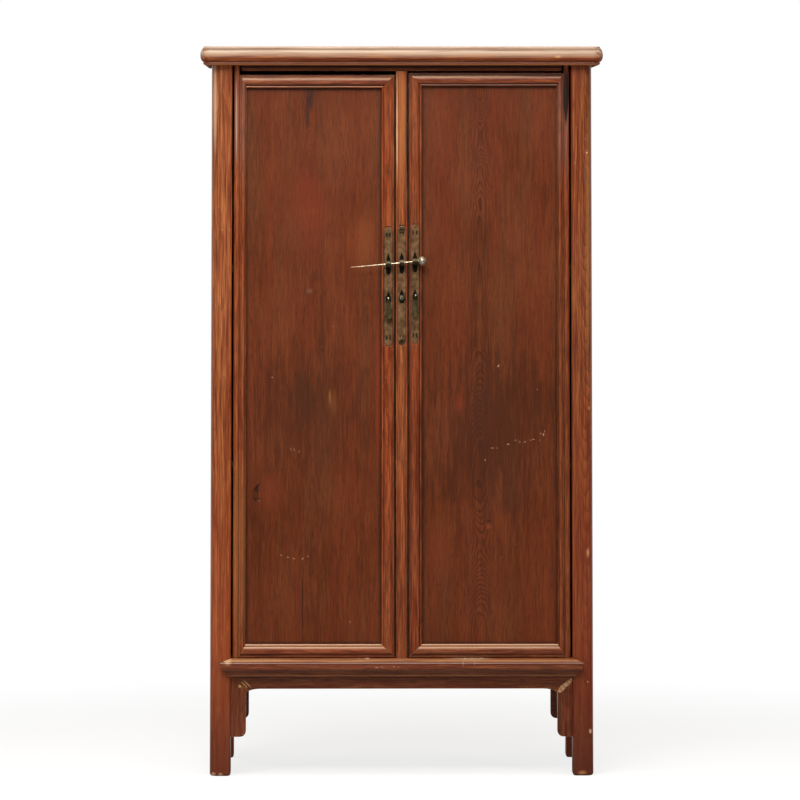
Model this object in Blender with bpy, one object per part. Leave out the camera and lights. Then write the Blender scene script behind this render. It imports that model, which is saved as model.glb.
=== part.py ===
"""Round-corner cabinet, built piece by piece as its joiner would. Sizes are in metres, +Z is up.

Every piece is drawn upright first. The case is then splayed: each point moves out from the
centre line by an amount that grows from nothing under the top to SPLAY at the floor.
"""
import math

import bmesh
import bpy
from mathutils import Vector

# Whole cabinet
HEIGHT = 1.855
TOP_WIDTH = 1.020
TOP_DEPTH = 0.500
TOP_OVERHANG = 0.029
SPLAY = 0.0084
JOINT_GAP = 0.0003
CUT_OVERSHOOT = 0.010

# Top
TOP_THICKNESS = 0.047
TOP_CORNER_RADIUS = 0.026
TOP_FRAME_WIDTH = 0.075
TOP_PANEL_THICKNESS = 0.016
TOP_PANEL_DROP = 0.0015

# Posts
POST_SIDE = 0.052
POST_OUTER_RADIUS = 0.016
POST_EDGE_RADIUS = 0.007
FOOT_ROUNDING = 0.007

# Rails round the foot of the case
SILL_TOP = 0.301
SILL_HEIGHT = 0.0475
SILL_LIP = 0.019
SILL_RETURN = 0.027
SILL_DEPTH = 0.046
RAIL_THICKNESS = 0.040
RAIL_SETBACK = 0.006
TENON_LENGTH = 0.026
TENON_THICKNESS = 0.014
TENON_SETBACK = 0.012

# Aprons under the rails
APRON_HEIGHT = 0.0305
APRON_THICKNESS = 0.014
APRON_SETBACK = 0.006
SPANDREL_WIDTH = 0.038
SPANDREL_FOOT = 0.100
SPANDREL_TOE_RADIUS = 0.015
APRON_CORNER_RUN = 0.036
APRON_CORNER_DROP = 0.013

# Panels of the case
PANEL_THICKNESS = 0.010
PANEL_SETBACK = 0.014
GROOVE_DEPTH = 0.008
PANEL_FLOAT = 0.001
MUNTIN_WIDTH = 0.044
MUNTIN_THICKNESS = 0.026
FLOOR_THICKNESS = 0.014
FLOOR_DROP = 0.008

# Shelves
LOWER_SHELF_TOP = 0.800
UPPER_SHELF_TOP = 1.300
SHELF_THICKNESS = 0.018
BEARER_THICKNESS = 0.022
BEARER_HEIGHT = 0.030

# Doors
HEAD_HEIGHT = 0.014
HEAD_DEPTH = 0.032
HEAD_SETBACK = 0.003
DOOR_RECESS = 0.003
DOOR_THICKNESS = 0.033
DOOR_RAIL_WIDTH = 0.033
MEETING_STILE_WIDTH = 0.034
OUTER_STILE_FACE = 0.0165
PIVOT_RADIUS = 0.0075
PIVOT_SETBACK = 0.010
PIVOT_SHRINK = 0.0005
PIVOT_DEPTH = 0.018
PIVOT_END_GAP = 0.001
PIVOT_CLEARANCE = 0.0005
POST_GAP = 0.0045
MEETING_GAP = 0.002
DOOR_SILL_GAP = 0.002
DOOR_HEAD_GAP = 0.0055
LEFT_DOOR_DROP = 0.005
CUSHION_RISE = 0.006
FILLET_DEPTH = 0.0064
QUIRK_DEPTH = 0.0068
BEAD_DEPTH = 0.0042
DOOR_GROOVE_FRONT = 0.014
DOOR_GROOVE_WIDTH = 0.008
DOOR_PANEL_FRONT = 0.0125
DOOR_PANEL_BACK = 0.023
BATTEN_WIDTH = 0.030
BATTEN_FLARE = 0.002
BATTEN_INSET = 0.004
DOOR_BATTEN_BACK = 0.0315
DOOR_BATTEN_SHARES = (0.30, 0.72)
TOP_BATTEN_DROP = 0.012

# Centre post
CENTRE_POST_WIDTH = 0.029
CENTRE_POST_DEPTH = 0.030
CENTRE_CUSHION_RISE = 0.003
CENTRE_QUIRK_DEPTH = 0.0036
CENTRE_BEAD_DEPTH = 0.0022
CENTRE_BEAD_WIDTH = 0.005
CENTRE_TENON_SIDE = 0.012
CENTRE_TENON_LENGTH = 0.010
CENTRE_TENON_END_GAP = 0.001

# Brass
PLATE_WIDTH = 0.022
PLATE_HEIGHT = 0.305
PLATE_THICKNESS = 0.0012
PLATE_SEAT_DEPTH = 0.003
PLATE_CENTRE = 1.251
HARDWARE_STEP = 0.003
STAPLE_ABOVE = 0.0565
PULL_BELOW = 0.0335
LEAF_THICKNESS = 0.001
LEAF_HALF_WIDTH = 0.0065
STAPLE_LEAF_UP, STAPLE_LEAF_DOWN = 0.0275, 0.0265
EYE_LEAF_UP, EYE_LEAF_DOWN = 0.022, 0.010
BOSS_LEAF_UP, BOSS_LEAF_DOWN = 0.024, 0.012
STAPLE_WIDTH = 0.012
STAPLE_RADIUS = 0.0085
STAPLE_REACH = 0.0095
STAPLE_BORE = 0.0037
EYE_RADIUS = 0.0048
EYE_WIRE = 0.0013
EYE_NECK = 0.003
PENDANT_LENGTH = 0.047
PENDANT_HALF_WIDTH = 0.0085
PENDANT_THICKNESS = 0.0016
PENDANT_BORE = 0.0022
BOSS_RADIUS = 0.008
BOSS_HEIGHT = 0.006
PIN_RADIUS = 0.0021
PIN_TIP_RADIUS = 0.0013
PIN_LENGTH = 0.170
PIN_HEAD_RADIUS = 0.0125
PIN_HEAD_LENGTH = 0.024
PIN_FLUTES = 8
PIN_FLUTE_SHARE = 0.13
PIN_TWIST = 8.0

# Levels and planes that follow from the sizes above
SHOULDER = HEIGHT - TOP_THICKNESS
POST_X = TOP_WIDTH / 2 - TOP_OVERHANG
POST_Y = TOP_DEPTH / 2 - TOP_OVERHANG
BAY_X = POST_X - POST_SIDE
BAY_Y = POST_Y - POST_SIDE
SILL_BOTTOM = SILL_TOP - SILL_HEIGHT
HEAD_BOTTOM = SHOULDER - HEAD_HEIGHT
DOOR_FRONT = -(POST_Y - DOOR_RECESS)
PIVOT_X = BAY_X - POST_GAP - PIVOT_RADIUS
PIVOT_Y = DOOR_FRONT + PIVOT_SETBACK
PIVOT_BORE = PIVOT_RADIUS - PIVOT_SHRINK + PIVOT_CLEARANCE
DOOR_EDGE = CENTRE_POST_WIDTH / 2 + MEETING_GAP
SIGHT_IN = DOOR_EDGE + MEETING_STILE_WIDTH
SIGHT_OUT = PIVOT_X - PIVOT_RADIUS - OUTER_STILE_FACE
DOOR_BOTTOM = SILL_TOP + DOOR_SILL_GAP
FLOOR_TOP = SILL_TOP - FLOOR_DROP
FLOOR_BOTTOM = FLOOR_TOP - FLOOR_THICKNESS
CROSS_TENON = (SILL_BOTTOM + 0.50 * SILL_HEIGHT, SILL_BOTTOM + 0.76 * SILL_HEIGHT)
SIDE_TENON = (SILL_BOTTOM + 0.14 * SILL_HEIGHT, SILL_BOTTOM + 0.42 * SILL_HEIGHT)
LEFT, RIGHT = -1, 1
FRONT, BACK = -1, 1

# Outlines as fractions of the sizes they belong to
SILL_LIP_OUTLINE = ((0.00, 0.00), (0.90, 0.19), (1.00, 0.25), (0.97, 0.42), (0.86, 0.61), (0.58, 0.72),
                    (0.34, 0.84), (0.27, 0.88), (0.35, 0.91), (0.35, 0.97), (0.20, 1.00), (0.00, 1.00))
TOP_EDGE_OUTLINE = ((0.30, 1.00), (0.27, 0.93), (0.23, 0.92), (0.10, 0.80), (0.025, 0.67), (0.00, 0.53),
                    (0.025, 0.39), (0.10, 0.27), (0.24, 0.18), (0.33, 0.17), (0.26, 0.13), (0.26, 0.07),
                    (0.42, 0.00))
TOP_EDGE_INSET = 0.028
CUSHION_SHARES = (0.17, 0.81)
BEAD_SHARE = 0.155
DOOR_ROUNDNESS = 2.2
CENTRE_ROUNDNESS = 2.6
PIN_HEAD_OUTLINE = ((0.00, 0.42), (0.06, 0.52), (0.12, 0.46), (0.16, 0.62), (0.28, 0.88), (0.42, 1.00),
                    (0.56, 0.98), (0.70, 0.84), (0.82, 0.62), (0.92, 0.36), (1.00, 0.12))


def splayed(point):
    """The place of an upright point once the case is splayed."""
    drop = 1 - point[2] / SHOULDER
    return Vector((point[0] * (1 + SPLAY / POST_X * drop), point[1] * (1 + SPLAY / POST_Y * drop), point[2]))


# Shapes

def skin(rings, closed=False):
    """A closed solid through rings of equally many points, capped at both ends unless it closes on itself."""
    shape = bmesh.new()
    loops = [[shape.verts.new(point) for point in ring] for ring in rings]
    count = len(rings[0])
    spans = list(zip(loops, loops[1:]))
    if closed:
        spans.append((loops[-1], loops[0]))
    else:
        shape.faces.new(loops[0])
        shape.faces.new(loops[-1])
    for near, far in spans:
        for i in range(count):
            j = (i + 1) % count
            shape.faces.new((near[i], near[j], far[j], far[i]))
    return tidy(shape)


def tidy(shape):
    """Joins points that fall together and turns every face outwards."""
    bmesh.ops.remove_doubles(shape, verts=shape.verts, dist=1e-7)
    bmesh.ops.recalc_face_normals(shape, faces=shape.faces)
    return shape


def box(low, high):
    """A plain box between two corners."""
    (x0, y0, z0), (x1, y1, z1) = low, high
    return skin([[(x0, y0, z), (x1, y0, z), (x1, y1, z), (x0, y1, z)] for z in (z0, z1)])


def grown(low, high, by):
    """A box that is larger on every side."""
    return box([value - by for value in low], [value + by for value in high])


def together(shapes):
    """Several separate solids as one shape."""
    whole = bmesh.new()
    for shape in shapes:
        mesh = bpy.data.meshes.new("together")
        shape.to_mesh(mesh)
        shape.free()
        whole.from_mesh(mesh)
        bpy.data.meshes.remove(mesh)
    return whole


def circle(radius, count, turn=0.0):
    """Points round a circle, as pairs."""
    steps = [turn + 2 * math.pi * i / count for i in range(count)]
    return [(radius * math.cos(a), radius * math.sin(a)) for a in steps]


def arc(centre, radius, start, end, count):
    """Points along an arc given in degrees, both ends included."""
    steps = [math.radians(start + (end - start) * i / count) for i in range(count + 1)]
    return [(centre[0] + radius * math.cos(a), centre[1] + radius * math.sin(a)) for a in steps]


def rod(radius, x, y, low, high, count=24):
    """An upright cylinder."""
    return skin([[(x + a, y + b, z) for a, b in circle(radius, count)] for z in (low, high)])


def pierced(outline, holes, front, thickness):
    """A flat plate facing -Y with an outline and holes in X and Z; its back lies at front + thickness."""
    shape = bmesh.new()
    edges = []
    for loop in [outline] + holes:
        corners = [shape.verts.new((x, front, z)) for x, z in loop]
        edges += [shape.edges.new((a, b)) for a, b in zip(corners, corners[1:] + corners[:1])]
    bmesh.ops.triangle_fill(shape, use_beauty=True, edges=edges)
    pushed = bmesh.ops.extrude_face_region(shape, geom=shape.faces[:], use_keep_orig=True)
    moved = [item for item in pushed["geom"] if isinstance(item, bmesh.types.BMVert)]
    bmesh.ops.translate(shape, verts=moved, vec=(0, thickness, 0))
    return tidy(shape)


def cut_away(shape, point, normal):
    """Saws a solid along a plane and keeps the side that the normal points away from."""
    geometry = shape.verts[:] + shape.edges[:] + shape.faces[:]
    bmesh.ops.bisect_plane(shape, geom=geometry, plane_co=point, plane_no=normal, clear_outer=True)
    bmesh.ops.holes_fill(shape, edges=[edge for edge in shape.edges if edge.is_boundary])
    return tidy(shape)


# Pieces

def finish(name, colour, roughness, metallic=0.0):
    """A material with the colour of the photograph."""
    made = bpy.data.materials.new(name)
    made.use_nodes = True
    shader = made.node_tree.nodes["Principled BSDF"]
    shader.inputs["Base Color"].default_value = (*colour, 1.0)
    shader.inputs["Roughness"].default_value = roughness
    shader.inputs["Metallic"].default_value = metallic
    return made


def anchor(name, place, parent=None):
    """An empty that a group of pieces hangs from."""
    empty = bpy.data.objects.new(name, None)
    bpy.context.scene.collection.objects.link(empty)
    empty.location = place
    if parent:
        empty.parent = parent
        empty.location = Vector(place) - world_place(parent)
    return empty


def world_place(thing):
    """Where an object stands once its parents are added up."""
    place = Vector(thing.location)
    while thing.parent:
        thing = thing.parent
        place += thing.location
    return place


def place_shape(name, shape, parent, splay, own_origin):
    """Makes an object of a shape and hangs it from its parent."""
    if splay:
        for vert in shape.verts:
            vert.co = splayed(vert.co)
    base = world_place(parent)
    origin = base.copy()
    if own_origin:
        low = Vector([min(vert.co[axis] for vert in shape.verts) for axis in range(3)])
        high = Vector([max(vert.co[axis] for vert in shape.verts) for axis in range(3)])
        origin = (low + high) / 2
    bmesh.ops.translate(shape, verts=shape.verts, vec=-origin)
    mesh = bpy.data.meshes.new(name)
    shape.to_mesh(mesh)
    shape.free()
    made = bpy.data.objects.new(name, mesh)
    bpy.context.scene.collection.objects.link(made)
    made.parent = parent
    made.location = origin - base
    return made


def piece(name, shape, look, parent, splay=True, own_origin=False):
    """One named piece of the cabinet with its own material."""
    made = place_shape(name, shape, parent, splay, own_origin)
    made.data.materials.append(look)
    return made


def combine(target, shape, how, splay=True):
    """Cuts a shape out of a piece or joins it on, with a hidden helper."""
    helper = place_shape(f"{target.name}_{how.lower()}", shape, target.parent, splay, False)
    helper.hide_render = True
    helper.display_type = "WIRE"
    step = target.modifiers.new(how.lower(), "BOOLEAN")
    step.operation = how
    step.solver = "EXACT"
    step.object = helper
    return target


def carve(target, shapes, splay=True):
    """Cuts several shapes out of a piece."""
    return combine(target, together(shapes), "DIFFERENCE", splay)


def fuse(target, shapes, splay=True):
    """Joins several shapes on to a piece."""
    return combine(target, together(shapes), "UNION", splay)


# Top

def top_section():
    """The top frame's section as (distance in from the edge, height), from its upper arris to the groove."""
    edge = [(inset * TOP_EDGE_INSET, SHOULDER + rise * TOP_THICKNESS) for inset, rise in TOP_EDGE_OUTLINE]
    groove_top = HEIGHT - TOP_PANEL_DROP - TOP_PANEL_THICKNESS / 4
    groove_low = HEIGHT - TOP_PANEL_DROP - TOP_PANEL_THICKNESS * 3 / 4
    inner = [(TOP_FRAME_WIDTH, SHOULDER), (TOP_FRAME_WIDTH, groove_low),
             (TOP_FRAME_WIDTH - GROOVE_DEPTH, groove_low), (TOP_FRAME_WIDTH - GROOVE_DEPTH, groove_top),
             (TOP_FRAME_WIDTH, groove_top), (TOP_FRAME_WIDTH, HEIGHT)]
    return edge + inner


def top_member(half_length, half_width, gap):
    """A mitred member along X whose outer edge faces -Y; its corners follow the rounded plan."""
    section = top_section()
    rings = []
    radius = TOP_CORNER_RADIUS
    for side in (LEFT, RIGHT):
        stations = [45 + 45 * i / 3 for i in range(4)]
        if side == RIGHT:
            stations.reverse()
        for angle in stations:
            ring = []
            for inset, z in section:
                reach = radius - inset
                if reach > 0:
                    along = radius - reach * math.cos(math.radians(angle))
                    across = radius - reach * math.sin(math.radians(angle))
                else:
                    along, across = inset, inset
                ring.append((side * (half_length - along - gap), -half_width + across, z))
            rings.append(ring)
    return skin(rings)


def turned_quarter(shape, side):
    """Turns a front member round to an end of the cabinet."""
    for vert in shape.verts:
        x, y, z = vert.co
        vert.co = (side * -y, x, z)
    return tidy(shape)


def turned_back(shape):
    """Turns a front member round to the back."""
    for vert in shape.verts:
        vert.co.y = -vert.co.y
    return tidy(shape)


def stepped_panel(rectangle, tongue, steps, place):
    """A panel with a tongue round it; steps are the depths of its face, its tongue and its back."""
    (a0, a1), (b0, b1) = rectangle
    face, tongue_face, tongue_back, back = steps
    rings = []
    for depth, reach in ((face, 0), (tongue_face, 0), (tongue_face, tongue), (tongue_back, tongue),
                         (tongue_back, 0), (back, 0)):
        rings.append([place(a0 - reach, b0 - reach, depth), place(a1 + reach, b0 - reach, depth),
                      place(a1 + reach, b1 + reach, depth), place(a0 - reach, b1 + reach, depth)])
    return skin(rings)


def dovetail(width, near, far, key, by, place, ends):
    """A batten whose inner edge widens into a dovetail; by makes a larger one to cut the housing."""
    half, flare = width / 2 + by, BATTEN_FLARE
    section = [(-half, key - by), (half, key - by), (half - flare, near), (half - flare, far + by),
               (-half + flare, far + by), (-half + flare, near)]
    return skin([[place(across, depth, along) for across, depth in section] for along in ends])


def build_top(root, looks):
    """The mitred top frame, its panel and the batten under it."""
    half_x, half_y = TOP_WIDTH / 2, TOP_DEPTH / 2
    mitre_gap = JOINT_GAP * math.sqrt(2)
    front = piece("top_front_rail", top_member(half_x, half_y, mitre_gap), looks["frame"], root, False)
    sockets = [rod(PIVOT_BORE, side * PIVOT_X, PIVOT_Y, SHOULDER - CUT_OVERSHOOT, SHOULDER + PIVOT_DEPTH)
               for side in (LEFT, RIGHT)]
    mortise = centre_tenon(SHOULDER - CUT_OVERSHOOT, SHOULDER + CENTRE_TENON_LENGTH, JOINT_GAP)
    carve(front, sockets + [mortise], False)
    piece("top_back_rail", turned_back(top_member(half_x, half_y, mitre_gap)), looks["frame"], root, False)
    for name, side in (("top_left_end", LEFT), ("top_right_end", RIGHT)):
        piece(name, turned_quarter(top_member(half_y, half_x, 0), side), looks["frame"], root, False)
    face = HEIGHT - TOP_PANEL_DROP
    quarter = TOP_PANEL_THICKNESS / 4
    steps = (face, face - quarter - JOINT_GAP, face - 3 * quarter + JOINT_GAP, face - TOP_PANEL_THICKNESS)
    inside_x = half_x - TOP_FRAME_WIDTH - JOINT_GAP
    inside_y = half_y - TOP_FRAME_WIDTH - JOINT_GAP
    panel = piece("top_panel", stepped_panel(((-inside_x, inside_x), (-inside_y, inside_y)),
                                             GROOVE_DEPTH - PANEL_FLOAT, steps, lambda x, y, z: (x, y, z)),
                  looks["panel"], root, False)
    under = face - TOP_PANEL_THICKNESS
    key = under + BATTEN_INSET
    place = lambda across, depth, along: (across, along, -depth)
    carve(panel, [dovetail(BATTEN_WIDTH, -under, -under + TOP_BATTEN_DROP, -key, JOINT_GAP, place,
                           (-half_y, half_y))], False)
    piece("top_batten", dovetail(BATTEN_WIDTH, -under, -under + TOP_BATTEN_DROP, -key, 0, place,
                                 (-inside_y, inside_y)), looks["inside"], root, False)


# Case

def tenon_bars(by=0.0):
    """The tenons of the four lower rails, as bars from post to post."""
    long_x = BAY_X + TENON_LENGTH + by
    long_y = BAY_Y + TENON_LENGTH + by
    face = POST_Y - TENON_SETBACK
    bars = {}
    for name, side in (("sill", FRONT), ("back", BACK)):
        near, far = sorted((side * (face - TENON_THICKNESS), side * face))
        bars[name] = box((-long_x, near - by, CROSS_TENON[0] - by), (long_x, far + by, CROSS_TENON[1] + by))
    face = POST_X - RAIL_SETBACK - TENON_SETBACK
    for name, side in (("left", LEFT), ("right", RIGHT)):
        near, far = sorted((side * (face - TENON_THICKNESS), side * face))
        bars[name] = box((near - by, -long_y, SIDE_TENON[0] - by), (far + by, long_y, SIDE_TENON[1] + by))
    return bars


def post_section():
    """A post's section from its square inner corner, with the roundest corner outside."""
    side, edge, outer = POST_SIDE, POST_EDGE_RADIUS, POST_OUTER_RADIUS
    return ([(0, 0)] + arc((side - edge, edge), edge, -90, 0, 3)
            + arc((side - outer, side - outer), outer, 0, 90, 5) + arc((edge, side - edge), edge, 90, 180, 3))


def build_posts(root, looks):
    """Four posts with mortises for the rails and grooves for the panels."""
    middle = POST_SIDE / 2
    foot = arc((FOOT_ROUNDING, FOOT_ROUNDING), FOOT_ROUNDING, 270, 180, 4)
    levels = [(z, 1 - 2 * inset / POST_SIDE) for inset, z in foot] + [(SHOULDER - JOINT_GAP, 1.0)]
    reach = GROOVE_DEPTH + JOINT_GAP
    low, high = SILL_TOP - GROOVE_DEPTH, SHOULDER + CUT_OVERSHOOT
    side_face = POST_X - PANEL_SETBACK + JOINT_GAP
    side_back = side_face - PANEL_THICKNESS - 2 * JOINT_GAP
    back_face = POST_Y - PANEL_SETBACK + JOINT_GAP
    back_back = back_face - PANEL_THICKNESS - 2 * JOINT_GAP
    for depth_name, sy in (("front", FRONT), ("back", BACK)):
        for side_name, sx in (("left", LEFT), ("right", RIGHT)):
            rings = []
            for z, scale in levels:
                rings.append([(sx * (BAY_X + middle + (p - middle) * scale),
                               sy * (BAY_Y + middle + (q - middle) * scale), z) for p, q in post_section()])
            post = piece(f"{depth_name}_{side_name}_post", skin(rings), looks["post"], root)
            cuts = list(tenon_bars(JOINT_GAP).values())
            x_pair = sorted((sx * side_back, sx * side_face))
            y_pair = sorted((sy * (BAY_Y - CUT_OVERSHOOT), sy * (BAY_Y + reach)))
            cuts.append(box((x_pair[0], y_pair[0], low), (x_pair[1], y_pair[1], high)))
            if sy == BACK:
                x_pair = sorted((sx * (BAY_X - CUT_OVERSHOOT), sx * (BAY_X + reach)))
                cuts.append(box((x_pair[0], back_back, low), (x_pair[1], back_face, high)))
            carve(post, cuts)


def rail_section():
    """A lower rail's section as (distance in from its face, height), grooved for a panel and the floor."""
    near = PANEL_SETBACK - RAIL_SETBACK - JOINT_GAP
    far = near + PANEL_THICKNESS + 2 * JOINT_GAP
    ease = RAIL_THICKNESS / 14
    back, bed = RAIL_THICKNESS, RAIL_THICKNESS - GROOVE_DEPTH
    over, under = FLOOR_TOP + JOINT_GAP, FLOOR_BOTTOM - JOINT_GAP
    return [(ease, SILL_BOTTOM), (0, SILL_BOTTOM + 2 * ease), (0, SILL_TOP - 2 * ease), (ease, SILL_TOP),
            (near, SILL_TOP), (near, SILL_TOP - GROOVE_DEPTH), (far, SILL_TOP - GROOVE_DEPTH),
            (far, SILL_TOP), (back, SILL_TOP), (back, over), (bed, over), (bed, under), (back, under),
            (back, SILL_BOTTOM)]


def sill_shape():
    """The door sill: a rail between the posts with a moulded lip that returns over their faces."""
    end = BAY_X - JOINT_GAP
    plane = -(POST_Y + JOINT_GAP)
    back = -(POST_Y - SILL_DEPTH)
    lip = [(p, SILL_TOP - d * SILL_HEIGHT) for p, d in SILL_LIP_OUTLINE]
    body = [(back, SILL_BOTTOM), (back, FLOOR_BOTTOM - JOINT_GAP),
            (back - GROOVE_DEPTH, FLOOR_BOTTOM - JOINT_GAP), (back - GROOVE_DEPTH, FLOOR_TOP + JOINT_GAP),
            (back, FLOOR_TOP + JOINT_GAP), (back, SILL_TOP)]
    shape = bmesh.new()
    front, returned, rear = {}, {}, {}
    for side in (LEFT, RIGHT):
        front[side] = [shape.verts.new((side * (end + p * SILL_RETURN), plane - p * SILL_LIP, z))
                       for p, z in lip]
        returned[side] = [front[side][0]]
        returned[side] += [shape.verts.new((side * (end + p * SILL_RETURN), plane, z)) for p, z in lip[1:-1]]
        returned[side].append(front[side][-1])
        rear[side] = [shape.verts.new((side * end, y, z)) for y, z in body]
        shape.faces.new([front[side][0]] + returned[side][1:-1] + [front[side][-1]])
        shape.faces.new([front[side][0], front[side][-1]] + rear[side])
        for i in range(len(lip) - 1):
            corners = [front[side][i], front[side][i + 1], returned[side][i + 1], returned[side][i]]
            shape.faces.new(list(dict.fromkeys(corners)))
    around = {side: front[side] + rear[side] for side in (LEFT, RIGHT)}
    count = len(around[LEFT])
    for i in range(count):
        j = (i + 1) % count
        shape.faces.new((around[LEFT][i], around[LEFT][j], around[RIGHT][j], around[RIGHT][i]))
    return tidy(shape)


def build_rails(root, looks):
    """The moulded sill and the three plain rails, all tenoned into the posts."""
    bars = tenon_bars()
    sill = fuse(piece("door_sill_rail", sill_shape(), looks["frame"], root), [bars["sill"]])
    low = SILL_TOP - PIVOT_DEPTH
    cuts = [rod(PIVOT_BORE, side * PIVOT_X, PIVOT_Y, low, SILL_TOP + CUT_OVERSHOOT) for side in (LEFT, RIGHT)]
    cuts.append(centre_tenon(SILL_TOP - CENTRE_TENON_LENGTH, SILL_TOP + CUT_OVERSHOOT, JOINT_GAP))
    carve(sill, cuts)
    ends = (-BAY_X + JOINT_GAP, BAY_X - JOINT_GAP)
    face = POST_Y - RAIL_SETBACK
    rings = [[(x, face - n, z) for n, z in rail_section()] for x in ends]
    fuse(piece("back_lower_rail", skin(rings), looks["frame"], root), [bars["back"]])
    ends = (-BAY_Y + JOINT_GAP, BAY_Y - JOINT_GAP)
    face = POST_X - RAIL_SETBACK
    for name, side in (("left", LEFT), ("right", RIGHT)):
        rings = [[(side * (face - n), y, z) for n, z in rail_section()] for y in ends]
        fuse(piece(f"{name}_lower_rail", skin(rings), looks["frame"], root), [bars[name]])


def build_panels(root, looks):
    """Side panels, two back panels with a muntin between them, and the floor."""
    low = SILL_TOP - GROOVE_DEPTH + PANEL_FLOAT
    high = SHOULDER - JOINT_GAP
    tongue = GROOVE_DEPTH - PANEL_FLOAT
    face = POST_X - PANEL_SETBACK
    for name, side in (("left", LEFT), ("right", RIGHT)):
        near, far = sorted((side * face, side * (face - PANEL_THICKNESS)))
        piece(f"{name}_side_panel", box((near, -BAY_Y - tongue, low), (far, BAY_Y + tongue, high)),
              looks["panel"], root)
    face = POST_Y - PANEL_SETBACK
    for name, side in (("left", LEFT), ("right", RIGHT)):
        near, far = sorted((side * (MUNTIN_WIDTH / 2 - tongue), side * (BAY_X + tongue)))
        piece(f"back_panel_{name}", box((near, face - PANEL_THICKNESS, low), (far, face, high)),
              looks["panel"], root)
    half, rear = MUNTIN_WIDTH / 2, POST_Y - RAIL_SETBACK
    groove = (face - PANEL_THICKNESS - JOINT_GAP, face + JOINT_GAP)
    right = [(half, rear - MUNTIN_THICKNESS), (half, groove[0]), (half - GROOVE_DEPTH, groove[0]),
             (half - GROOVE_DEPTH, groove[1]), (half, groove[1]), (half, rear)]
    section = right + [(-x, y) for x, y in reversed(right)]
    rings = [[(x, y, z) for x, y in section] for z in (SILL_TOP + JOINT_GAP, high)]
    piece("back_muntin", skin(rings), looks["frame"], root)
    x_rail = POST_X - RAIL_SETBACK - RAIL_THICKNESS + tongue
    y_sill = -(POST_Y - SILL_DEPTH) - tongue
    y_rail = POST_Y - RAIL_SETBACK - RAIL_THICKNESS + tongue
    x_post, y_post = BAY_X - JOINT_GAP, BAY_Y - JOINT_GAP
    quarter = [(x_post, y_sill), (x_post, -y_post), (x_rail, -y_post), (x_rail, y_post), (x_post, y_post),
               (x_post, y_rail)]
    outline = quarter + [(-x, y) for x, y in reversed(quarter)]
    piece("floor_panel", skin([[(x, y, z) for x, y in outline] for z in (FLOOR_BOTTOM, FLOOR_TOP)]),
          looks["inside"], root)


def apron_outline(half):
    """Apron and spandrels in one outline as (along, height)."""
    top = SILL_BOTTOM - JOINT_GAP
    under = top - APRON_HEIGHT
    inner = half - SPANDREL_WIDTH
    toe = SPANDREL_TOE_RADIUS
    corner = [(inner + (a - 1) * APRON_CORNER_RUN, under + (b - 1) * APRON_CORNER_DROP)
              for a, b in arc((0, 0), 1, 0, 90, 7)]
    right = ([(half, top), (half, SPANDREL_FOOT)]
             + arc((inner + toe, SPANDREL_FOOT + toe), toe, -90, -180, 5) + corner)
    return right + [(-x, z) for x, z in reversed(right)]


def apron_shape(half, face, place):
    """A flat apron with its spandrels; place turns (along, depth, height) into a point."""
    return skin([[place(along, depth, z) for along, z in apron_outline(half)]
                 for depth in (face, face - APRON_THICKNESS)])


def build_aprons(root, looks):
    """The front apron mitred to two spandrels, and the one-piece aprons of the other sides."""
    half = BAY_X - JOINT_GAP
    top = SILL_BOTTOM - JOINT_GAP
    face = POST_Y - APRON_SETBACK
    place = lambda along, depth, z: (along, -depth, z)
    middle = apron_shape(half, face, place)
    for name, side in (("left", LEFT), ("right", RIGHT)):
        normal = Vector((side * APRON_HEIGHT, 0, -SPANDREL_WIDTH)).normalized()
        mitre = Vector((side * half, 0, top))
        middle = cut_away(middle, mitre - normal * JOINT_GAP / 2, normal)
        other = Vector((-side * half / 2, 0, top))
        spandrel = cut_away(apron_shape(half, face, place), other, Vector((-side, 0, 0)))
        spandrel = cut_away(spandrel, mitre + normal * JOINT_GAP / 2, -normal)
        piece(f"front_{name}_spandrel", spandrel, looks["frame"], root)
    piece("front_apron", middle, looks["frame"], root)
    turned_round = lambda along, depth, z: (along, depth, z)
    piece("back_apron", apron_shape(half, face, turned_round), looks["frame"], root)
    half, face = BAY_Y - JOINT_GAP, POST_X - APRON_SETBACK
    for name, side in (("left", LEFT), ("right", RIGHT)):
        place = lambda along, depth, z: (side * depth, along, z)
        piece(f"{name}_apron", apron_shape(half, face, place), looks["frame"], root)


def build_shelves(root, looks):
    """Two shelves, each on a bearer at either side."""
    wall = POST_X - PANEL_SETBACK - PANEL_THICKNESS - JOINT_GAP
    depth = BAY_Y - JOINT_GAP
    for name, level in (("lower", LOWER_SHELF_TOP), ("upper", UPPER_SHELF_TOP)):
        under = level - SHELF_THICKNESS
        piece(f"{name}_shelf", box((-wall, -depth, under), (wall, depth, level)), looks["inside"], root)
        for side_name, side in (("left", LEFT), ("right", RIGHT)):
            near, far = sorted((side * wall, side * (wall - BEARER_THICKNESS)))
            top = under - JOINT_GAP
            piece(f"{name}_{side_name}_bearer", box((near, -depth, top - BEARER_HEIGHT), (far, depth, top)),
                  looks["inside"], root)


# Doors

def cushion(near, far, rise, roundness, count):
    """A convex face as (place, depth behind the crown); a roundness of 2 is elliptical, more is flatter."""
    points = []
    for i in range(count + 1):
        t = -math.cos(math.pi * i / count)
        height = (1 - abs(t) ** roundness) ** (1 / roundness)
        points.append(((near + far) / 2 + (far - near) / 2 * t, rise * (1 - height)))
    return points


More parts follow.
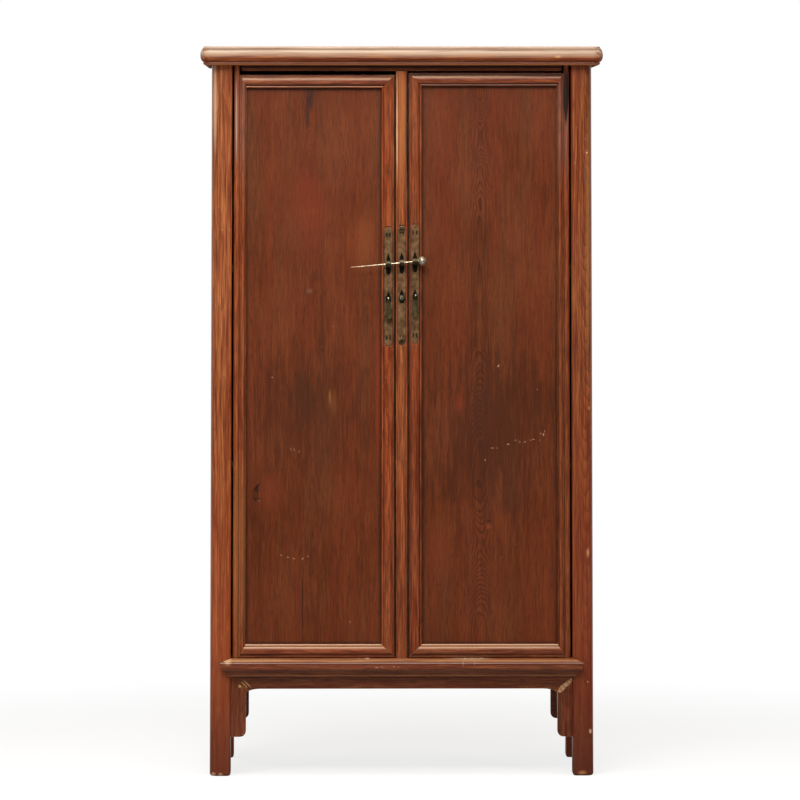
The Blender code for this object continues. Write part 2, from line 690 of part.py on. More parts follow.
def face_section(width):
    """The moulded face from the outer fillet over the cushion and the bead to the sight edge."""
    inner, outer = [share * width for share in CUSHION_SHARES]
    fillet = [(width, FILLET_DEPTH), (outer + FILLET_DEPTH - CUSHION_RISE, FILLET_DEPTH)]
    half = BEAD_SHARE * width / 2
    tall = QUIRK_DEPTH - BEAD_DEPTH
    bead = [(half * (1 + a), QUIRK_DEPTH - tall * b) for a, b in arc((0, 0), 1, 0, 180, 6)]
    return fillet + cushion(outer, inner, CUSHION_RISE, DOOR_ROUNDNESS, 12) + bead


def groove_section():
    """The panel groove and the back of the sight edge."""
    rear = DOOR_GROOVE_FRONT + DOOR_GROOVE_WIDTH
    return [(0, DOOR_GROOVE_FRONT), (GROOVE_DEPTH, DOOR_GROOVE_FRONT), (GROOVE_DEPTH, rear), (0, rear),
            (0, DOOR_THICKNESS)]


def member_section(width):
    """The whole section of a meeting stile or a rail."""
    return face_section(width) + groove_section() + [(width, DOOR_THICKNESS)]


def outer_stile_section():
    """The section of an outer stile: a narrow moulded face with the pivot's round along its outer edge."""
    centre = (OUTER_STILE_FACE + PIVOT_RADIUS, PIVOT_SETBACK)
    nose = arc(centre, PIVOT_RADIUS, 90, -180, 15)
    return (face_section(OUTER_STILE_FACE) + groove_section()
            + [(centre[0], DOOR_THICKNESS)] + nose)


def build_door(name, side, drop, anchor_point, looks):
    """One door: four mitred members, a floating panel and two battens. Gives back its meeting stile."""
    group = anchor_point
    low, high = DOOR_BOTTOM + DOOR_RAIL_WIDTH, HEAD_BOTTOM - DOOR_HEAD_GAP - drop - DOOR_RAIL_WIDTH
    gap = JOINT_GAP / math.sqrt(2)

    def stile(section, width, sight, outward):
        rings = []
        for base, way in ((low, -1), (high, 1)):
            ring = []
            for u, v in section:
                rise = min(u, width) * DOOR_RAIL_WIDTH / width
                ring.append((side * (sight + outward * u), DOOR_FRONT + v, base + way * rise))
            rings.append(ring)
        return skin(rings)

    def rail(sight, way):
        rings = []
        for edge, outward, width in ((SIGHT_IN, -1, MEETING_STILE_WIDTH), (SIGHT_OUT, 1, OUTER_STILE_FACE)):
            inset = gap * math.hypot(1, width / DOOR_RAIL_WIDTH)
            rings.append([(side * (edge + outward * (u * width / DOOR_RAIL_WIDTH - inset)), DOOR_FRONT + v,
                           sight + way * u) for u, v in member_section(DOOR_RAIL_WIDTH)])
        return skin(rings)

    outer = piece(f"{name}_door_outer_stile", stile(outer_stile_section(), OUTER_STILE_FACE, SIGHT_OUT, 1),
                  looks["frame"], group)
    reach = PIVOT_DEPTH - PIVOT_END_GAP
    pivots = rod(PIVOT_RADIUS - PIVOT_SHRINK, side * PIVOT_X, PIVOT_Y, SILL_TOP - reach, SHOULDER + reach)
    fuse(outer, [pivots])
    section = member_section(MEETING_STILE_WIDTH)
    meeting = piece(f"{name}_door_meeting_stile", stile(section, MEETING_STILE_WIDTH, SIGHT_IN, -1),
                    looks["frame"], group)
    piece(f"{name}_door_top_rail", rail(high, 1), looks["frame"], group)
    piece(f"{name}_door_bottom_rail", rail(low, -1), looks["frame"], group)

    groove_back = DOOR_GROOVE_FRONT + DOOR_GROOVE_WIDTH
    steps = (DOOR_PANEL_FRONT, DOOR_GROOVE_FRONT + JOINT_GAP, groove_back - JOINT_GAP, DOOR_PANEL_BACK)
    inside = ((SIGHT_IN + JOINT_GAP, SIGHT_OUT - JOINT_GAP), (low + JOINT_GAP, high - JOINT_GAP))
    panel = piece(f"{name}_door_panel",
                  stepped_panel(inside, GROOVE_DEPTH - PANEL_FLOAT, steps,
                                lambda a, z, depth: (side * a, DOOR_FRONT + depth, z)), looks["panel"], group)
    key = DOOR_PANEL_BACK - BATTEN_INSET
    housings = []
    for level_name, share in zip(("lower", "upper"), DOOR_BATTEN_SHARES):
        level = low + (high - low) * share
        place = lambda across, depth, along: (side * along, DOOR_FRONT + depth, level + across)
        housings.append(dovetail(BATTEN_WIDTH, DOOR_PANEL_BACK, DOOR_BATTEN_BACK, key, JOINT_GAP, place,
                                 (SIGHT_IN - CUT_OVERSHOOT, SIGHT_OUT + CUT_OVERSHOOT)))
        piece(f"{name}_door_{level_name}_batten",
              dovetail(BATTEN_WIDTH, DOOR_PANEL_BACK, DOOR_BATTEN_BACK, key, 0, place, inside[0]),
              looks["inside"], group)
    carve(panel, housings)
    return meeting


def centre_tenon(low, high, by=0.0):
    """A tenon of the centre post, or a mortise for it."""
    half = CENTRE_TENON_SIDE / 2 + by
    middle = DOOR_FRONT + CENTRE_POST_DEPTH * 0.55
    return box((-half, middle - half, low), (half, middle + half, high))


def centre_section():
    """The centre post's section as (across, depth): a cushion between two beads."""
    half = CENTRE_POST_WIDTH / 2
    bead = CENTRE_BEAD_WIDTH
    left = [(-half, CENTRE_POST_DEPTH), (-half, CENTRE_QUIRK_DEPTH), (-half + 0.2 * bead, CENTRE_BEAD_DEPTH),
            (-half + 0.7 * bead, CENTRE_BEAD_DEPTH), (-half + bead, CENTRE_QUIRK_DEPTH)]
    edge = half - 1.1 * bead
    face = cushion(-edge, edge, CENTRE_CUSHION_RISE, CENTRE_ROUNDNESS, 8)
    return left + face + [(-x, depth) for x, depth in reversed(left)]


def build_centre(root, looks):
    """The head rail over the doors and the centre post between them. Gives back the post."""
    half = PIVOT_X - PIVOT_RADIUS - POST_GAP
    front = DOOR_FRONT + HEAD_SETBACK
    bar = box((-half, front, HEAD_BOTTOM), (half, front + HEAD_DEPTH, SHOULDER - JOINT_GAP))
    head = piece("door_head_rail", bar, looks["frame"], root)
    carve(head, [centre_tenon(HEAD_BOTTOM - CUT_OVERSHOOT, SHOULDER + CUT_OVERSHOOT, JOINT_GAP)])
    ends = (SILL_TOP + JOINT_GAP, HEAD_BOTTOM - JOINT_GAP)
    rings = [[(x, DOOR_FRONT + depth, z) for x, depth in centre_section()] for z in ends]
    post = piece("centre_post", skin(rings), looks["post"], root)
    foot = SILL_TOP - CENTRE_TENON_LENGTH + CENTRE_TENON_END_GAP
    return fuse(post, [centre_tenon(foot, SHOULDER + CENTRE_TENON_LENGTH - CENTRE_TENON_END_GAP)])


# Brass

def plate_outline(x, z):
    """A long plate with a three-lobed end at top and bottom."""
    half, tall = PLATE_WIDTH / 2, PLATE_HEIGHT / 2
    lobe, crown = half * 0.5, half * 0.56
    right = (arc((half - lobe, tall - 2.3 * lobe), lobe, 0, 75, 4) + arc((0, tall - crown), crown, 2, 90, 5))
    upper = right + [(-a, b) for a, b in reversed(right[:-1])]
    outline = upper + [(a, -b) for a, b in reversed(upper)]
    return [(x + a, z + b) for a, b in outline]


def curl_holes(x, z):
    """Four pierced crescents, two near each end of a plate, back to back, and a drop above them."""
    half, tall = PLATE_WIDTH / 2, PLATE_HEIGHT / 2
    drop = [(0.0, 0.20 * half), (-0.17 * half, -0.12 * half), (0.17 * half, -0.12 * half)]
    holes = [[(x + a, z + tall - 0.90 * half + b) for a, b in drop]]
    for up in (1, -1):
        for way in (LEFT, RIGHT):
            centre = (0.74 * half, tall - 2.0 * half)
            band = (arc(centre, 0.56 * half, 108, 252, 6) + arc(centre, 0.35 * half, 252, 108, 6))
            holes.append([(x + way * a, z + up * b) for a, b in band])
    return holes


def leaf(x, z, front, up, down):
    """A thin leaf under a fitting, pointed above and blunt below."""
    half = LEAF_HALF_WIDTH
    right = [(0.52 * half, -down), (0.86 * half, -0.78 * down), (half, -0.35 * down), (half, 0.22 * up),
             (0.66 * half, 0.52 * up), (0.28 * half, 0.78 * up), (0.0, up)]
    outline = right + [(-a, b) for a, b in reversed(right[:-1])]
    return pierced([(x + a, z + b) for a, b in outline], [], front, LEAF_THICKNESS)


def staple_lug(x, z, seat):
    """A rounded lug bored across for the lock pin; it grows out of its leaf at the seat."""
    centre = (seat - STAPLE_REACH, z)
    outline = [(seat + LEAF_THICKNESS / 2, z + STAPLE_RADIUS)]
    outline += arc(centre, STAPLE_RADIUS, 90, 270, 10) + [(seat + LEAF_THICKNESS / 2, z - STAPLE_RADIUS)]
    bore = [(centre[0] + a, centre[1] + b) for a, b in circle(STAPLE_BORE, 16)]
    flat = pierced(outline, [bore], 0.0, STAPLE_WIDTH)
    for vert in flat.verts:
        y, across, height = vert.co
        vert.co = (x - STAPLE_WIDTH / 2 + across, y, height)
    return tidy(flat)


def eye_shape(x, centre_y, z, seat):
    """A wire ring on a short neck."""
    rings = []
    for i in range(20):
        turn = 2 * math.pi * i / 20
        way, up = math.cos(turn), math.sin(turn)
        rings.append([(x + b, centre_y + (EYE_RADIUS + a) * way, z + (EYE_RADIUS + a) * up)
                      for a, b in circle(EYE_WIRE, 8)])
    ring = skin(rings, closed=True)
    ends = (centre_y + EYE_RADIUS, seat + LEAF_THICKNESS / 2)
    neck = skin([[(x + a, y, z + b) for a, b in circle(EYE_WIRE * 0.8, 8, 0.2)] for y in ends])
    return ring, neck


def pendant_outline(x, z):
    """A drop that widens from its ear to a scalloped foot, as (x, z) from the bore's centre."""
    half, long = PENDANT_HALF_WIDTH, PENDANT_LENGTH
    ear = arc((0, 0), PENDANT_BORE * 1.85, 90, -35, 5)
    side = [(0.50 * half, -0.13 * long), (0.78 * half, -0.20 * long), (0.84 * half, -0.30 * long),
            (0.92 * half, -0.72 * long), (half, -0.80 * long), (0.92 * half, -0.88 * long),
            (0.60 * half, -0.91 * long), (0.42 * half, -0.95 * long), (0.0, -long)]
    right = ear + side
    return [(x + a, z + b) for a, b in right + [(-a, b) for a, b in reversed(right[1:-1])]]


def turned(profile, x, z, front, count=16):
    """A turned solid whose axis runs along Y; the profile is (radius, how far in front of the seat)."""
    return skin([[(x + a, front - out, z + b) for a, b in circle(radius, count)] for radius, out in profile])


def build_plate(name, x, z, seat, carrier, root, looks):
    """A faceplate on a flat planed into the moulding behind it. Only a door's plate is pierced."""
    holes = curl_holes(x, z) if x else []
    piece(f"{name}_faceplate", pierced(plate_outline(x, z), holes, seat - PLATE_THICKNESS, PLATE_THICKNESS),
          looks["brass"], root)
    half, tall = PLATE_WIDTH / 2 + JOINT_GAP, PLATE_HEIGHT / 2 + JOINT_GAP
    carve(carrier, [box((x - half, DOOR_FRONT - CUT_OVERSHOOT, z - tall),
                        (x + half, DOOR_FRONT + PLATE_SEAT_DEPTH, z + tall))])


def staple_height(offset):
    """The height of a staple's bore by how far its door's brass is set up or down."""
    return PLATE_CENTRE + STAPLE_ABOVE + offset


def build_brass(root, doors, carriers, looks):
    """Plates, staples, pull eyes, pendants, the boss and the lock pin."""
    seat = DOOR_FRONT + PLATE_SEAT_DEPTH - JOINT_GAP
    leaf_back = seat - PLATE_THICKNESS - JOINT_GAP
    leaf_front = leaf_back - LEAF_THICKNESS
    column = DOOR_EDGE + MEETING_STILE_WIDTH / 2
    joints = {}
    for name, side in (("left", LEFT), ("centre", 0), ("right", RIGHT)):
        offset = side * HARDWARE_STEP
        x, z = side * column, PLATE_CENTRE + offset
        group = doors.get(name, root)
        build_plate(name, x, z, seat, carriers[name], group, looks)
        bore = staple_height(offset)
        staple = piece(f"{name}_staple", leaf(x, bore, leaf_front, STAPLE_LEAF_UP, STAPLE_LEAF_DOWN),
                       looks["dark brass"], group)
        fuse(staple, [staple_lug(x, bore, leaf_front)])
        level = z - PULL_BELOW
        if not side:
            profile = [(1.0, -0.0), (1.0, 0.25), (0.80, 0.50), (0.62, 0.42), (0.50, 0.85), (0.22, 1.0)]
            boss = piece("centre_boss", leaf(x, level, leaf_front, BOSS_LEAF_UP, BOSS_LEAF_DOWN),
                         looks["dark brass"], group)
            fuse(boss, [turned([(r * BOSS_RADIUS, out * BOSS_HEIGHT) for r, out in profile], x, level,
                               leaf_front + LEAF_THICKNESS / 2)])
            continue
        eye = piece(f"{name}_pull_eye", leaf(x, level, leaf_front, EYE_LEAF_UP, EYE_LEAF_DOWN),
                    looks["dark brass"], group)
        centre_y = leaf_front - EYE_NECK - EYE_RADIUS - EYE_WIRE
        ring, neck = eye_shape(x, centre_y, level, leaf_front)
        fuse(eye, [neck])
        combine(eye, ring, "UNION")
        pivot = splayed((x, centre_y, level))
        swing = anchor(f"{name}_pull_axis", pivot, group)
        drop = level - EYE_RADIUS + EYE_WIRE + JOINT_GAP - PENDANT_BORE
        hole = [(x + a, drop + b) for a, b in circle(PENDANT_BORE, 14)]
        piece(f"{name}_pendant", pierced(pendant_outline(x, drop), [hole], centre_y - PENDANT_THICKNESS / 2,
                                         PENDANT_THICKNESS), looks["brass"], swing)
        joints[f"{name}_pull_swing"] = (pivot, Vector((-1, 0, 0)))
    joints["lock_pin_slide"] = build_pin(root, column, leaf_front - STAPLE_REACH, looks)
    return joints


def build_pin(root, column, y, looks):
    """The lock pin through all three staples, with a head of spiral flutes at its right end."""
    count = 4 * PIN_FLUTES
    low = Vector((-column, y, staple_height(-HARDWARE_STEP)))
    high = Vector((column, y, staple_height(HARDWARE_STEP)))
    along = (high - low).normalized()
    up = Vector((0, -1, 0)).cross(along)
    out = Vector((0, -1, 0))
    stop = high + along * (STAPLE_WIDTH / 2 + STAPLE_BORE * abs(along.z) + JOINT_GAP) / along.x
    stations = [(-PIN_LENGTH, 0.35 * PIN_TIP_RADIUS), (-PIN_LENGTH + PIN_TIP_RADIUS, PIN_TIP_RADIUS),
                (-0.45 * PIN_LENGTH, PIN_RADIUS), (0.0, PIN_RADIUS)]
    rings = []
    for reach, radius in stations:
        rings.append([stop + along * reach + up * a + out * b for a, b in circle(radius, count)])
    fluted = (PIN_HEAD_OUTLINE[3][0], PIN_HEAD_OUTLINE[-2][0])
    for share, swell in PIN_HEAD_OUTLINE:
        ring = []
        for i in range(count):
            turn = 2 * math.pi * i / count
            flute = 1.0
            if fluted[0] <= share <= fluted[1]:
                flute = 1 - PIN_FLUTE_SHARE * (1 + math.cos(PIN_FLUTES * turn + PIN_TWIST * share)) / 2
            radius = PIN_HEAD_RADIUS * swell * flute
            ring.append(stop + along * PIN_HEAD_LENGTH * share + up * radius * math.cos(turn)
                        + out * radius * math.sin(turn))
        rings.append(ring)
    start = splayed(stop)
    group = anchor("lock_pin_axis", start, root)
    piece("lock_pin", skin(rings), looks["pin"], group)
    return start, (splayed(high) - splayed(low)).normalized()


def main():
    """Builds the cabinet and prints where its joints lie."""
    for thing in list(bpy.data.objects):
        bpy.data.objects.remove(thing)
    looks = {
        "frame": finish("frame_wood", (0.165, 0.052, 0.020), 0.38),
        "post": finish("post_wood", (0.180, 0.058, 0.021), 0.38),
        "panel": finish("panel_wood", (0.115, 0.034, 0.015), 0.36),
        "inside": finish("inside_wood", (0.200, 0.100, 0.048), 0.60),
        "brass": finish("plate_brass", (0.250, 0.150, 0.060), 0.42, 1.0),
        "dark brass": finish("fitting_brass", (0.110, 0.070, 0.035), 0.45, 1.0),
        "pin": finish("pin_metal", (0.480, 0.440, 0.370), 0.35, 1.0),
    }
    root = anchor("cabinet", (0, 0, 0))
    build_top(root, looks)
    build_posts(root, looks)
    build_rails(root, looks)
    build_panels(root, looks)
    build_aprons(root, looks)
    build_shelves(root, looks)
    carriers = {"centre": build_centre(root, looks)}
    doors, joints = {}, {}
    for name, side, drop in (("left", LEFT, LEFT_DOOR_DROP), ("right", RIGHT, 0.0)):
        foot = splayed((side * PIVOT_X, PIVOT_Y, SILL_TOP))
        head = splayed((side * PIVOT_X, PIVOT_Y, SHOULDER))
        doors[name] = anchor(f"{name}_door_axis", foot, root)
        carriers[name] = build_door(name, side, drop, doors[name], looks)
        joints[f"{name}_door_swing"] = (foot, side * (head - foot).normalized())
    joints.update(build_brass(root, doors, carriers, looks))
    for name, (place, axis) in joints.items():
        print("joint", name, [round(v, 6) for v in place], [round(v, 6) for v in axis])


main()
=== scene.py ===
"""Dresses the round-corner cabinet: lacquered elm, bare elm inside, aged brass, and the studio."""

import logging
import math
import random
from dataclasses import dataclass, field, replace
from enum import Enum
from typing import Any

import bmesh
import bpy
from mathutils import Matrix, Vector

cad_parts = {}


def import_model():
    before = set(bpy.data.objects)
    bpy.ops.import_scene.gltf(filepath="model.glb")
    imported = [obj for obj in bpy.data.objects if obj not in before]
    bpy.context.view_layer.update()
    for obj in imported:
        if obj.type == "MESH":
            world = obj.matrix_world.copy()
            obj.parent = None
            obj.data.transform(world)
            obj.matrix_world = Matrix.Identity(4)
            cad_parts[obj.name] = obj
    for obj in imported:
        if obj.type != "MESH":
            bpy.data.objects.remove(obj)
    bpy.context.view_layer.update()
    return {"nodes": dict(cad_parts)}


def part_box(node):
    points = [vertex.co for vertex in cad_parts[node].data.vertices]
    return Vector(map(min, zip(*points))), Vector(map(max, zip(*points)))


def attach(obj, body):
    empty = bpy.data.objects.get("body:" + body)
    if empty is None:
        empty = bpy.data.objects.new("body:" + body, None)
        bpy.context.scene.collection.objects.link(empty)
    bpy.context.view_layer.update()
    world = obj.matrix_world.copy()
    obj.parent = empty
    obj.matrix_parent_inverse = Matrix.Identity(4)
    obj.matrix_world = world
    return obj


log = logging.getLogger("cabinet")

Socket = bpy.types.NodeSocket
Tree = bpy.types.NodeTree
Point = tuple[float, float, float]

MM = 0.001
# A mark with a half size past this is broken up by slow patterns too, and not by the finest alone.
BROAD_MARK = 9 * MM
# Most of a noise pattern lies between these two values.
NOISE_SPAN = (0.3, 0.7)


def linear(code: str, level: float = 1.0) -> tuple[float, float, float, float]:
    """Turns an sRGB hex value into linear light.

    Args:
        code: the colour, such as "#64311e".
        level: how light or dark this piece came out, as a share of the colour.

    Returns:
        Red, green, blue and an alpha of 1.
    """
    parts = [int(code[i : i + 2], 16) / 255 for i in (1, 3, 5)]
    light = [c / 12.92 if c <= 0.04045 else ((c + 0.055) / 1.055) ** 2.4 for c in parts]
    return light[0] * level, light[1] * level, light[2] * level, 1.0


def add(tree: Tree, kind: str, links: dict[Any, Any] | None = None, out: Any = 0, **settings: Any) -> Socket:
    """Adds a node with its settings and links.

    Args:
        tree: the node tree that takes it.
        kind: the node's type, without "ShaderNode" where it has that.
        links: input names or numbers, each with a value or an output to link.
        out: the output to give back, by name or number.
        settings: the node's own settings.

    Returns:
        One output of the new node, or None where it has none.
    """
    full = kind if kind.startswith(("Geometry", "NodeGroup", "Function")) else "ShaderNode" + kind
    node = tree.nodes.new(full)
    for name, value in settings.items():
        setattr(node, name, value)
    for key, value in (links or {}).items():
        if isinstance(value, Socket):
            tree.links.new(value, node.inputs[key])
        else:
            node.inputs[key].default_value = value
    return node.outputs[out] if len(node.outputs) else None


def new_material(name: str) -> tuple[bpy.types.Material, Tree, bpy.types.Node]:
    """Makes an empty material.

    Args:
        name: the material's name.

    Returns:
        The material, its tree and its output node.
    """
    material = bpy.data.materials.new(name)
    material.use_nodes = True
    tree = material.node_tree
    tree.nodes.clear()
    return material, tree, tree.nodes.new("ShaderNodeOutputMaterial")


class Grain(Enum):
    """The way a plank's fibres run. The value turns that way on to the pattern's z."""

    UPRIGHT = (0.0, 0.0, 0.0)
    ACROSS = (0.0, math.pi / 2, 0.0)
    DEEP = (-math.pi / 2, 0.0, 0.0)


@dataclass(frozen=True)
class Mark:
    """A stain, scuff, crack, knot or rubbed place on wood or brass, or a painted highlight or painted shade.

    Attributes:
        at: its middle, in metres.
        size: its half sizes, in metres.
        colour: what it turns the surface to.
        strength: how strongly, from 0 to 1.
        ragged: how far its edge wanders, as a share of its size.
        turn: how far it is turned on the front face, in radians.
        core: the share of it that has its full strength.
    """

    at: Point
    size: Point
    colour: str
    strength: float
    ragged: float = 0.8
    turn: float = 0.0
    core: float = 0.3


def lay_marks(
    tree: Tree,
    marks: tuple[Mark, ...],
    place: Socket,
    rags: tuple[list[Socket], list[Socket]],
    colour: Any,
) -> Any:
    """Lays stains, scuffs, painted highlights and painted shade over a colour.

    Args:
        tree: the material's tree.
        marks: what to lay.
        place: object coordinates.
        rags: the patterns that break up the edges of small marks, and of broad ones.
        colour: the colour so far.

    Returns:
        The colour with the marks on it.
    """
    for mark in marks:
        around = add(
            tree,
            "Mapping",
            {
                "Vector": place,
                "Location": mark.at,
                "Rotation": (0, mark.turn, 0),
                "Scale": mark.size,
            },
            vector_type="TEXTURE",
        )
        away = add(tree, "VectorMath", {0: around}, out="Value", operation="LENGTH")
        patterns = rags[max(mark.size[0], mark.size[2]) > BROAD_MARK]
        for pattern in patterns:
            away = add(
                tree, "Math", {0: pattern, 1: mark.ragged, 2: away}, operation="MULTIPLY_ADD"
            )
        edge = 0.5 * mark.ragged * len(patterns)
        share = add(
            tree,
            "MapRange",
            {0: away, 1: mark.core + edge, 2: 1.0 + edge, 3: mark.strength, 4: 0.0},
            interpolation_type="SMOOTHSTEP",
        )
        colour = add(
            tree,
            "Mix",
            {"Factor": share, 6: colour, 7: linear(mark.colour)},
            out=2,
            data_type="RGBA",
        )
    return colour


def outline_distance(tree: Tree, place: Socket, low: Vector, high: Vector) -> Socket:
    """Measures how far a point is inside a piece's outline.

    Args:
        tree: the material's tree.
        place: object coordinates.
        low: the piece's lowest corner.
        high: the piece's highest corner.

    Returns:
        The distance to the nearest edge of its broad face, in metres, below 0 inside.
    """
    half = (high - low) / 2
    away = add(tree, "VectorMath", {0: place, 1: (high + low) / 2}, operation="SUBTRACT")
    away = add(tree, "VectorMath", {0: away}, operation="ABSOLUTE")
    away = add(tree, "VectorMath", {0: away, 1: half}, operation="SUBTRACT")
    parts = add(tree, "SeparateXYZ", {0: away}).node.outputs
    broad = sorted(range(3), key=lambda axis: half[axis])[1:]
    return add(tree, "Math", {0: parts[broad[0]], 1: parts[broad[1]]}, operation="MAXIMUM")


@dataclass(frozen=True)
class Eddy:
    """A place where the rings rise to the face and close on themselves.

    Attributes:
        at: its middle, in metres.
        size: its half sizes, in metres.
        rise: how much further the rings are lifted there, in metres.
    """

    at: Point
    size: Point
    rise: float


@dataclass(frozen=True)
class Plank:
    """How a piece was cut from the tree, and how its life treated it.

    Attributes:
        grain: the way its fibres run.
        heart: the heart's place from the piece's middle, across the fibres, in metres.
        lean: how far the rings climb along the piece, in metres per metre.
        level: how light or dark the piece came out, as a share of its finish; on the head rail it stands for
            painted shade, and on the front apron for dirt and painted shade.
        rub: how much pale colour shows on the faces that look up: worn bare wood, and a painted highlight.
        dirt_and_shade: how strongly grime and painted shade darken the edges of a framed panel.
        grime: how strongly the piece darkens towards the floor.
        rub_from: how far a face has to look up before its pale rub and painted highlight start, and are
            full.
        figure: how strongly its rings show, as a share of its finish.
        flame: half the width of the column in which the rings show, in metres.
        eddies: places where the rings close.
        marks: what time left on its face, with painted highlights and painted shade.
    """

    grain: Grain
    heart: tuple[float, float] = (0.02, 0.06)
    lean: float = 0.01
    level: float = 1.0
    rub: float = 0.15
    dirt_and_shade: float = 0.0
    grime: float = 0.0
    rub_from: tuple[float, float] = (0.22, 0.6)
    figure: float = 1.0
    flame: float = 1.0
    eddies: tuple[Eddy, ...] = ()
    marks: tuple[Mark, ...] = ()


@dataclass(frozen=True)
class Elm:
    """Elm, planed by hand, stained red-brown and lacquered thin, then worn and waxed for years.

    The eye sees fine fibre lines and longer streaks, darker bands of late wood, slow changes of
    red and brown where the lacquer is thick or thin, and a soft sheen with no mirror in it.

    Attributes:
        name: what the finish is called.
        body: the usual colour.
        light: the colour of thin lacquer.
        dark: the colour of late wood and pores.
        red: the colour of the red bands.
        brown: the colour of the brown bands.
        worn: the bare wood where it is rubbed, also used to paint the highlight on faces that look up.
        ring: the width of a year's ring, in metres.
        ring_show: how strongly the rings show.
        streak_show: how strongly the streaks and fibres show.
        band_show: how strongly the slow bands show.
        stretch: how long the streaks are, against those of a panel.
        gloss: roughness where the lacquer is whole and where it is worn.
        specular: the lacquer's specular level.
        arris: how much bare wood shows on the eased arrises.
    """

    name: str
    body: str
    light: str
    dark: str
    red: str
    brown: str
    worn: str
    ring: float = 4.5 * MM
    ring_show: float = 0.4
    streak_show: float = 0.5
    band_show: float = 0.5
    stretch: float = 1.0
    gloss: tuple[float, float] = (0.3, 0.42)
    specular: float = 0.5
    arris: float = 0.6

    # Width and length of each pattern, its detail and its roughness. A fibre is finer than this,
    # but then it would not show.
    PATTERNS = {
        "fibre": (3.0 * MM, 60 * MM, 3.0, 0.6),
        "streak": (9 * MM, 140 * MM, 3.0, 0.55),
        "band": (36 * MM, 620 * MM, 2.0, 0.5),
        "patch": (100 * MM, 260 * MM, 3.0, 0.55),
        "pore": (2.3 * MM, 24 * MM, 1.0, 0.5),
        "sway": (90 * MM, 420 * MM, 2.0, 0.45),
        "curl": (34 * MM, 58 * MM, 1.0, 0.5),
        "speck": (5.0 * MM, 8.0 * MM, 1.0, 0.5),
        "plane": (28 * MM, 160 * MM, 1.0, 0.4),
    }
    SWAY_REACH = 26 * MM
    CURL_REACH = 14 * MM
    EDDY_REACH = 2.2
    LATE_POWER = 2.6
    QUIET_RINGS = 0.15
    # A dark brown: painted shade on faces that look down, and grime with painted shade along a framed
    # panel's edges.
    SOOT = "#241610"
    # Streak values between which the pale rub and painted highlight grow from their least to their full
    # share.
    RUB_STREAK = (0.3, 0.5)
    RUB_LEAST = 0.3
    # Upward part of the normal of a face too level to take the pale rub and painted highlight, and of one
    # that slopes enough.
    LEVEL = (0.99, 0.9)
    # Downward part of a face's normal at which the underside starts to be bare and darkened with painted
    # shade, and is wholly so.
    UNDERSIDE = (0.3, 0.8)
    BARE_ROUGHNESS = 0.92
    PORE_DEPTH = 1.2
    # Strength and height of the grain's relief, and of the marks that the plane left.
    GRAIN_RELIEF = (0.4, 0.15 * MM)
    PLANE_RELIEF = (0.5, 0.7 * MM)
    IOR = 1.5
    # Size of the bare places on an arris, and the noise values at which they start and are full.
    ARRIS_PATCH = 30 * MM
    ARRIS_SPAN = (0.44, 0.7)

    def make(self, piece: str, plank: Plank) -> bpy.types.Material:
        """Makes the finish for one piece.

        Args:
            piece: the piece's name.
            plank: how the piece was cut.

        Returns:
            The material.
        """
        material, tree, end = new_material(f"{self.name}_{piece}")
        place = add(tree, "TexCoord", out="Object")
        drawn = self._draw(tree, piece, plank, place)
        colour: Any = linear(self.body, plank.level)
        for key, start, full, share, tone in self._layers(plank):
            mask = add(tree, "MapRange", {0: drawn[key], 1: start, 2: full, 4: share})
            colour = add(
                tree,
                "Mix",
                {"Factor": mask, 6: colour, 7: linear(tone, plank.level)},
                out=2,
                data_type="RGBA",
            )
        rags = ([drawn["fibre"]], [drawn["patch"], drawn["streak"], drawn["fibre"]])
        colour = lay_marks(tree, plank.marks, place, rags, colour)
        start, full = NOISE_SPAN
        whole, worn = self.gloss
        rough = add(tree, "MapRange", {0: drawn["patch"], 1: start, 2: full, 3: whole, 4: worn})
        start, full = self.UNDERSIDE
        bare = add(tree, "MapRange", {0: drawn["under"], 1: start, 2: full})
        rough = add(
            tree, "Mix", {"Factor": bare, 2: rough, 3: self.BARE_ROUGHNESS}, data_type="FLOAT"
        )
        shader = add(
            tree,
            "BsdfPrincipled",
            {
                "Base Color": colour,
                "Roughness": rough,
                "IOR": self.IOR,
                "Specular IOR Level": self.specular,
                "Normal": self._relief(tree, drawn),
            },
        )
        tree.links.new(shader, end.inputs["Surface"])
        return material

    def _draw(self, tree: Tree, piece: str, plank: Plank, place: Socket) -> dict[str, Socket]:
        """Draws every pattern that the finish is made of.

        Args:
            tree: the material's tree.
            piece: the piece's name, which also seeds where its patterns start.
            plank: how the piece was cut.
            place: object coordinates.

        Returns:
            The patterns by name.
        """
        low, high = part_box(piece)
        chance = random.Random(piece)
        along = add(
            tree,
            "Mapping",
            {"Vector": place, "Location": (low + high) / 2, "Rotation": plank.grain.value},
            vector_type="TEXTURE",
        )
        drawn: dict[str, Socket] = {}
        for key, (wide, long, detail, rough) in self.PATTERNS.items():
            offset = [chance.uniform(-40, 40) for _ in range(3)]
            long *= self.stretch
            scaled = add(
                tree,
                "Mapping",
                {"Vector": along, "Location": offset, "Scale": (1 / wide, 1 / wide, 1 / long)},
            )
            drawn[key] = add(
                tree,
                "TexNoise",
                {"Vector": scaled, "Scale": 1.0, "Detail": detail, "Roughness": rough},
            )
        drawn["late"] = self._rings(tree, plank, place, along, drawn)
        drawn["height"] = add(tree, "SeparateXYZ", {0: place}, out="Z")
        drawn["edge"] = outline_distance(tree, place, low, high)
        facing = add(tree, "SeparateXYZ", {0: add(tree, "NewGeometry", out="Normal")}, out="Z")
        drawn["under"] = add(tree, "Math", {0: facing, 1: -1.0}, operation="MULTIPLY")
        # Faces that look up turn pale: worn bare wood, and a painted highlight where the lamps above would
        # catch them.
        start, full = self.RUB_STREAK
        rubbed = add(tree, "MapRange", {0: drawn["streak"], 1: start, 2: full, 3: self.RUB_LEAST})
        for start, full in (plank.rub_from, self.LEVEL):
            upward = add(tree, "MapRange", {0: facing, 1: start, 2: full})
            rubbed = add(tree, "Math", {0: rubbed, 1: upward}, operation="MULTIPLY")
        drawn["rubbed"] = rubbed
        return drawn

